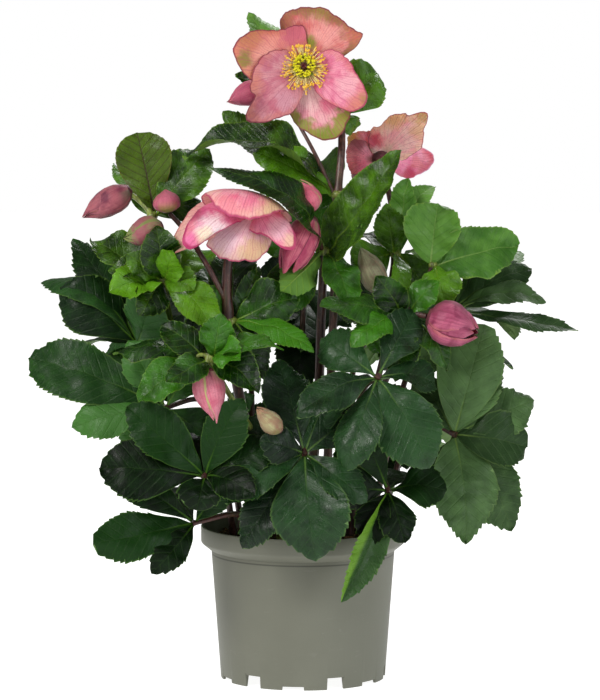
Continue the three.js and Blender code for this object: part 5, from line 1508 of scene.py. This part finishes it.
def petalPart(flower, row, rng):
    axis = unit(flower["axis"])
    centre = np.asarray(flower["centre"], float)
    outward = squared(np.asarray(row["tip"], float) - centre, axis)
    base = centre + outward * petalForm["base"] + axis * row["lift"]
    length = np.linalg.norm(row["tip"] - base)
    along = (row["tip"] - base) / length
    normal = squared(row.get("face", axis - petalForm["tilt"] * outward), along)
    side = np.cross(normal, along)

    rim = row["rim"]
    turns = np.linspace(rim[0][0], rim[-1][0], petalForm["columns"])
    reach = np.interp(turns, [a for a, r in rim], [r for a, r in rim])
    reach[1:-1] = (reach[:-2] + 2 * reach[1:-1] + reach[2:]) / 4
    unevenness = [(f, rng.uniform(0, 6), size) for f, size in ((0.31, 0.35), (0.62, 0.25), (1.3, 0.12))]
    reach = reach + sum(np.sin(turns * f + p) * size for f, p, size in unevenness)
    rho = np.linspace(0.04, 1, petalForm["rows"])[:, None]
    phi = np.radians(turns)[None]
    distance, lift = rho * reach, 0 * rho * phi
    for angle, width, start, bend in row["rolls"]:
        weight = np.exp(-((turns - angle) / width) ** 2)
        distance, raised = rolled(distance, reach, np.radians(bend) * weight, start)
        lift = lift + raised
    x, y = distance * np.cos(phi), distance * np.sin(phi)
    t = np.clip(x / length, 0, 1)
    lift = lift + 4 * row["arch"] * t * (1 - t) + row["cup"] * y ** 2 / (row["width"] / 2)
    lift = lift + row.get("lean", 0) * y + row.get("rise", 0) * np.sin(math.pi / 2 * np.clip(2 * t, 0, 1))
    for _ in range(3):
        lift = lift + row["ruffle"] / 2 * rho ** 3 * np.sin(rng.uniform(3.5, 9) * phi + rng.uniform(0, 6.3))
    pleats = np.abs(np.sin(math.pi * phi * petalForm["veins"]))
    lift = lift + petalForm["pleat"] * pleats * rho * (1.1 - rho ** 4)
    points = base + along * x[..., None] + side * y[..., None] + normal * lift[..., None]
    rowStep, columnStep = np.gradient(points, axis=0), np.gradient(points, axis=1)
    normals = unit(np.cross(rowStep, columnStep) + 1e-9)
    real = np.stack([rho * reach * np.cos(phi) / 10, rho * reach * np.sin(phi) / 10], axis=-1)
    share = np.stack([rho + 0 * phi, phi + 0 * rho], axis=-1)
    return sheetPart(points, normals, petalForm["thickness"] * (1 + 0 * rho * phi), real, share)


def petalMaterial(name, paint, spots=()):
    paint = roseColour | paint
    material, tree, shader = newMaterial(
        name, Roughness=0.52, Specular_IOR_Level=0.35, Sheen_Weight=0.12,
        Subsurface_Weight=paint["through"], Subsurface_Radius=(1.0, 0.4, 0.4), Subsurface_Scale=0.002)
    along, across = uvOf(tree, "real")
    out, turn = uvOf(tree, "share")
    layer = len(name) * 1.7  # sets the clouds of one petal apart from the next one's
    place = put(tree, "ShaderNodeCombineXYZ", {0: along, 1: across, 2: layer}).outputs[0]
    spread = maths(tree, "MULTIPLY", turn, 9.0)
    fan = put(tree, "ShaderNodeCombineXYZ", {0: spread, 1: out, 2: len(name)}).outputs[0]
    cloud, streaks = noise(tree, place, 0.9, 4, 0.5), noise(tree, fan, 1.3, 6, 0.3)
    colour = mixed(tree, fade(tree, cloud, 0.32, 0.68), paint["pale"], paint["deep"])
    colour = mixed(tree, fade(tree, streaks, 0.42, 0.7, 0, 0.55), colour, paint["deep"])
    colour = mixed(tree, fade(tree, streaks, 0.25, 0.45, 0.45, 0), colour, paint["pale"])
    colour = mixed(tree, fade(tree, out, 0.05, paint["clawTo"], 0.8, 0), colour, paint["claw"])
    drift = maths(tree, "MULTIPLY", maths(tree, "SUBTRACT", noise(tree, place, 1.5, 4), 0.5), 0.6)
    warmFrom = paint["warmFrom"]
    warmth = fade(tree, maths(tree, "ADD", out, drift), warmFrom, warmFrom + 0.2, 0, paint["warmShow"])
    colour = mixed(tree, warmth, colour, paint["warm"])
    ragged = maths(tree, "MULTIPLY", maths(tree, "SUBTRACT", noise(tree, place, 2.4, 4), 0.5), 1.1)
    for x, y, radius, tint, strength in spots:
        middle = (x / 10, y / 10, layer)
        away = put(tree, "ShaderNodeVectorMath", {0: place, 1: middle}, operation="DISTANCE").outputs["Value"]
        edge = maths(tree, "ADD", maths(tree, "DIVIDE", away, radius / 10), ragged)
        colour = mixed(tree, fade(tree, edge, 0.35, 1.15, strength, 0), colour, tint)
    wobble = maths(tree, "MULTIPLY", noise(tree, place, 1.6, 2), 0.55)
    phase = maths(tree, "ADD", maths(tree, "MULTIPLY", turn, petalForm["veins"]), wobble)
    coarse = fade(tree, maths(tree, "PINGPONG", phase, 0.5), 0.0, 0.1, 1, 0)
    fine = fade(tree, maths(tree, "PINGPONG", maths(tree, "MULTIPLY", phase, 3.0), 0.5), 0.0, 0.2, 1, 0)
    fine = maths(tree, "MULTIPLY", fine, fade(tree, out, 0.3, 0.6, 0.1, 0.6))
    veins = maths(tree, "MAXIMUM", coarse, fine)
    colour = mixed(tree, maths(tree, "MULTIPLY", veins, paint["veinShow"]), colour, paint["vein"])
    specks = noise(tree, place, 11, 4, 0.3)
    colour = mixed(tree, fade(tree, specks, 0.5, 0.75, 0, 0.4), colour, paint["vein"])
    atRim = fade(tree, out, paint["rimFrom"], paint["rimFrom"] + 0.03, 0, 0.92)
    colour = mixed(tree, atRim, colour, paint["rim"])
    tree.links.new(colour, shader.inputs["Base Color"])
    addBump(tree, shader, maths(tree, "ADD", maths(tree, "MULTIPLY", veins, -0.4), streaks), 0.5, 0.5)
    return material


# the middle of a flower; numbers are for one that is fully open
centreForm = dict(
    # distance along the axis and radius, from the stem's end inward
    receptacle=[
        (-4.6, 2.4), (-3.6, 2.7), (-2.2, 3.6), (-0.9, 6.2), (0.3, 6.8), (1.4, 5.4), (2.6, 4.4), (3.6, 2.5),
    ],
    nectaries=13, nectaryCircle=5.8, nectaryLength=6.5, nectaryRadius=1.35,
    innerStamens=96, innerReach=(3.0, 8.2), innerHeight=(7.5, 11), innerAnther=(1.05, 2.9),
    outerStamens=150, outerReach=(9.0, 16.5), outerHeight=(4.5, 9.5), outerAnther=(0.72, 2.4),
    lean=4.5,  # how much further the outer ones reach on the lower side
    filament=0.3,
    styles=5, styleHeight=12, styleRadius=0.8,
)
goldenTurn = 2.39996  # radians from one stamen to the next, which spreads them evenly
centreColour = dict(
    receptacle=srgb(120, 62, 70), nectary=srgb(142, 152, 48), filament=srgb(240, 226, 160),
    anther=srgb(230, 222, 26), antherOld=srgb(240, 200, 70), style=srgb(74, 26, 36),
)


def plainMaterial(name, low, high, scale, **shaderValues):
    # two close colours in small clouds, with a fine grain
    material, tree, shader = newMaterial(name, **shaderValues)
    place = ownPlace(tree)
    cloud, grain = noise(tree, place, scale, 3), noise(tree, place, scale * 6, 2)
    tree.links.new(mixed(tree, fade(tree, cloud, 0.35, 0.65), low, high), shader.inputs["Base Color"])
    addBump(tree, shader, grain, 0.4, 0.3)
    return material


def centreMaterials():
    # in the order of the slots 0 to 5 that the parts below name
    tint = centreColour
    return [
        plainMaterial("receptacleSkin", tint["receptacle"], srgb(84, 40, 48), 200, Roughness=0.5),
        plainMaterial("nectaryGreen", tint["nectary"], srgb(104, 120, 36), 260, Roughness=0.35),
        plainMaterial("filamentCream", tint["filament"], srgb(222, 196, 120), 300, Roughness=0.5),
        plainMaterial("antherYellow", tint["anther"], srgb(206, 200, 20), 420, Roughness=0.75),
        plainMaterial("antherOrange", tint["antherOld"], srgb(230, 172, 50), 420, Roughness=0.75),
        plainMaterial("styleDark", tint["style"], srgb(104, 48, 50), 300, Roughness=0.4),
    ]


def stamenParts(root, top, bend, direction, anther, rng, slot):
    middle = (root + top) / 2 + bend
    path = curvePoints([root, middle, top], 2.4)
    thread = tubePart(path, np.linspace(1.15, 0.8, len(path)) * centreForm["filament"], sides=5, slot=2)
    girth, length = anther
    size = rng.uniform(0.75, 1.15)
    way = unit(direction + np.array([rng.uniform(-0.5, 0.5) for _ in range(3)]))
    shape = np.array([(-0.5, 0.45), (-0.3, 0.9), (0.0, 1.0), (0.3, 0.85), (0.5, 0.35)])
    path = np.array([top + way * length * size * s for s, _ in shape])
    return [thread, tubePart(path, shape[:, 1] * girth * size, sides=6, flat=0.7, slot=slot)]


def centreParts(name, flower):
    rng = random.Random(name)
    form = centreForm
    axis = unit(flower["axis"])
    centre = np.asarray(flower["centre"], float)
    across = squared(np.array([1.0, 0.13, 0.21]), axis)
    upward = np.cross(axis, across)

    def spoke(turn):
        return across * math.cos(turn) + upward * math.sin(turn)

    profile = np.array(form["receptacle"])
    parts = [tubePart(centre + axis * profile[:, :1], profile[:, 1], sides=20)]
    for i in range(form["nectaries"]):
        way = spoke(2 * math.pi * i / form["nectaries"] + rng.uniform(-0.1, 0.1))
        root = centre + way * form["nectaryCircle"] * 0.8 + axis * 0.8
        lengths = np.array([0, 0.25, 0.6, 0.9, 1.0]) * form["nectaryLength"] * rng.uniform(0.85, 1.1)
        path = np.array([root + (way * 0.55 + axis * 0.8) * s for s in lengths])
        sizes = np.array([0.45, 0.8, 1.0, 1.12, 0.75]) * form["nectaryRadius"]
        parts.append(tubePart(path, sizes, sides=8, flat=0.7, slot=1))
    for i in range(form["outerStamens"]):
        way = spoke(goldenTurn * i + rng.uniform(-0.15, 0.15))
        downward = max(0, -float(way[2]))
        reach = rng.uniform(*form["outerReach"]) + form["lean"] * downward * rng.uniform(0.3, 1)
        reach *= flower.get("gathered", 1)
        root = centre + way * rng.uniform(2.6, 4.6) + axis * 2
        top = centre + way * reach + axis * rng.uniform(*form["outerHeight"])
        bend = axis * rng.uniform(0.4, 2.2)
        parts += stamenParts(root, top, bend, way + axis * 0.4, form["outerAnther"], rng, 4)
    least, most = form["innerReach"]
    for i in range(form["innerStamens"]):
        way = spoke(goldenTurn * i + rng.uniform(-0.2, 0.2))
        reach = least + (most - least) * math.sqrt(rng.random())
        root = centre + way * reach * 0.4 + axis * 3
        top = centre + way * reach + axis * rng.uniform(*form["innerHeight"])
        parts += stamenParts(root, top, axis * 0.3, axis + way * 0.3, form["innerAnther"], rng, 3)
    high = form["styleHeight"]
    for i in range(form["styles"]):
        way = spoke(2 * math.pi * (i + 0.4) / form["styles"])
        bends = ((0.8, 2.5), (1.0, 6), (1.1, high - 1.5), (2.0, high))
        path = np.array([centre + way * r + axis * z for r, z in bends])
        parts.append(tubePart(path, np.array([1.7, 1.5, 1.1, 0.6]) * form["styleRadius"], sides=8, slot=5))
    return parts


sharedCentre = centreMaterials()
backPaint = dict(pale=srgb(214, 140, 140), deep=srgb(190, 104, 120), veinShow=0.6)
roseBack = petalMaterial("petalBackRose", backPaint)
for name, flower in flowers.items():
    addPiece(name + "_stamens", centreParts(name, flower), sharedCentre, name + "_centre")
    for side, row in flower["petals"].items():
        rng = random.Random(name + side)
        skin = petalMaterial(name + side.title() + "Skin", row["paint"], row["spots"])
        skins = [skin, roseBack if name == "flower_a" else skin]
        parts = [petalPart(flower, row, rng)]
        addPiece(name + "_" + side + "_sheet", parts, skins, name + "_petal_" + side)
print("flowers made")


# buds: five sepals that wrap round one another

buds = {
    "bud_upper_left": dict(base=(-125, -25, 361), tip=(-159, -30, 341), girth=18),
    "bud_left_young": dict(base=(-97, -42, 346), tip=(-99, -44, 362), girth=17),
    "bud_left_nodding": dict(base=(-101, -50, 336), tip=(-128, -58, 329), girth=19),
    "bud_behind_a": dict(base=(-29, 1, 434), tip=(-56, -4, 423), girth=15),
    "bud_half_open": dict(base=(6, -44, 343), tip=(-12, -52, 302), girth=22, half=46),
    "bud_centre_young": dict(base=(6, -43, 346), tip=(-2, -46, 369), girth=19),
    "bud_right": dict(base=(90, -57, 272), tip=(125, -64, 261), girth=29),
    "bud_mottled": dict(base=(57, -35, 287), tip=(42, -40, 319), girth=17),
    "bud_hanging": dict(base=(-69, -93, 238), tip=(-62, -98, 200), girth=20, profile="lanceSwell"),
    "bud_low": dict(base=(-16, -99, 194), tip=(-33, -104, 212), girth=12),
}
budForm = dict(
    sepals=5, turn=144, half=78,  # degrees: from one sepal to the next, and half the width of one
    rows=24, columns=17, thickness=0.6, layer=0.5, ends=(0.9, 1.04),
    # share of the length and of the girth, for a plain bud and for a lance-shaped one
    swell=[
        (0, 0.3), (0.08, 0.6), (0.22, 0.9), (0.4, 1.0), (0.56, 0.95), (0.74, 0.74), (0.88, 0.44), (1, 0.06),
    ],
    lanceSwell=[
        (0, 0.28), (0.07, 0.58), (0.18, 0.88), (0.3, 1.0), (0.42, 0.97), (0.6, 0.77), (0.8, 0.42), (1, 0.04),
    ],
)
budRose = dict(
    pale=srgb(206, 120, 136), deep=srgb(164, 66, 92), claw=srgb(140, 120, 88),
    vein=srgb(132, 48, 76), rim=srgb(110, 36, 60), veinShow=0.4,
)
creamEdge = srgb(188, 184, 118)
budPaint = {
    "bud_upper_left": dict(pale=srgb(168, 92, 100), deep=srgb(100, 24, 54), claw=srgb(104, 100, 78)),
    "bud_left_young": dict(
        pale=srgb(196, 104, 122), deep=srgb(160, 54, 88), claw=srgb(134, 146, 44), clawTo=0.55,
    ),
    "bud_left_nodding": dict(
        pale=srgb(136, 134, 88), deep=srgb(150, 76, 88), rim=srgb(118, 132, 66), rimFrom=0.7,
        claw=srgb(120, 140, 60), clawTo=0.4,
    ),
    "bud_behind_a": dict(pale=srgb(206, 110, 132), deep=srgb(180, 70, 104)),
    "bud_half_open": dict(
        pale=srgb(216, 116, 134), deep=srgb(176, 50, 92), rim=srgb(126, 14, 66), rimFrom=0.84,
    ),
    "bud_centre_young": dict(
        pale=srgb(232, 130, 146), deep=srgb(212, 92, 118), claw=srgb(180, 176, 110), rim=creamEdge,
        rimFrom=0.8,
    ),
    "bud_right": dict(
        pale=srgb(192, 96, 126), deep=srgb(124, 26, 68), claw=srgb(110, 40, 56), veinShow=0.6,
    ),
    "bud_mottled": dict(pale=srgb(150, 152, 116), deep=srgb(92, 88, 58), claw=srgb(92, 104, 50)),
    "bud_hanging": dict(pale=srgb(224, 142, 156), deep=srgb(202, 90, 118), rim=creamEdge, rimFrom=0.84),
    "bud_low": dict(pale=srgb(178, 178, 128), deep=srgb(146, 112, 84), claw=srgb(130, 130, 70)),
}
budOpen = {"bud_half_open": 0.6, "bud_right": 0.2}  # how far the tips of the sepals stand apart


def sepalPart(base, axis, length, bud, turn, layer, spread, rng):
    across = squared(np.array([0.3, 0.5, 0.8]), axis)
    girth, half = bud["girth"], bud.get("half", budForm["half"])
    upward = np.cross(axis, across)
    s = np.linspace(0.0, 1.0, budForm["rows"])
    profile = budForm[bud.get("profile", "swell")]
    swell = np.interp(s, [a for a, b in profile], [b for a, b in profile])
    radius = girth / 2 * swell + layer * budForm["layer"] * np.sin(math.pi * np.clip(s * 1.2, 0, 1)) ** 0.5
    radius = radius + spread * girth * np.clip(s - 0.45, 0, 1) ** 1.5
    v = np.linspace(-1, 1, budForm["columns"])
    narrow = np.interp(s, [0, 0.3, 0.75, 1], [1, 1, 0.86, 0.4])
    angle = math.radians(turn) + np.radians(half) * v[None] * narrow[:, None]
    tuck = 1 - 0.06 * np.abs(v) ** 4
    wave = 0.02 * np.sin(5 * s[:, None] + 4 * v[None] + rng.uniform(0, 6))
    reach = radius[:, None] * (tuck + wave)
    ways = across * np.cos(angle)[..., None] + upward * np.sin(angle)[..., None]
    ends = rng.uniform(*budForm["ends"]) * (1 - 0.05 * v ** 2)
    points = base + axis * (s[:, None] * length * ends)[..., None] + ways * reach[..., None]
    real = np.stack([s[:, None] * length / 10 + 0 * v, np.abs(reach) * v * 0.13 + 0 * s[:, None]], axis=-1)
    out = np.maximum(0.82 * s[:, None], np.abs(v)[None] ** 1.5)
    share = np.stack([out, 1.2 * v[None] + 0 * s[:, None]], axis=-1)
    thickness = budForm["thickness"] * np.ones_like(reach)
    # rows run along the bud and columns round it, so the outer side is the under side of the sheet
    return sheetPart(points, -ways, thickness, real, share, slots=(0, 0))


def budParts(name, bud):
    rng = random.Random(name)
    base, tip = np.asarray(bud["base"], float), np.asarray(bud["tip"], float)
    length = np.linalg.norm(tip - base)
    axis = (tip - base) / length
    parts = []
    for i in range(budForm["sepals"]):
        turn = i * budForm["turn"] + rng.uniform(-8, 8)
        parts.append(sepalPart(base, axis, length, bud, turn, i, budOpen.get(name, 0), rng))
    s = np.array([-0.02, 0.0, 0.05, 0.12])
    knob = np.array([0.12, 0.22, 0.3, 0.24]) * bud["girth"]
    parts.append(tubePart(base + axis * (s * length)[:, None], knob, sides=14, slot=1))
    return parts


for name, bud in buds.items():
    skins = [petalMaterial(name + "Skin", budRose | budPaint[name]), sharedCentre[0]]
    addPiece(name + "_sepals", budParts(name, bud), skins, name)
print("buds made")


# finish

print("all pieces made")
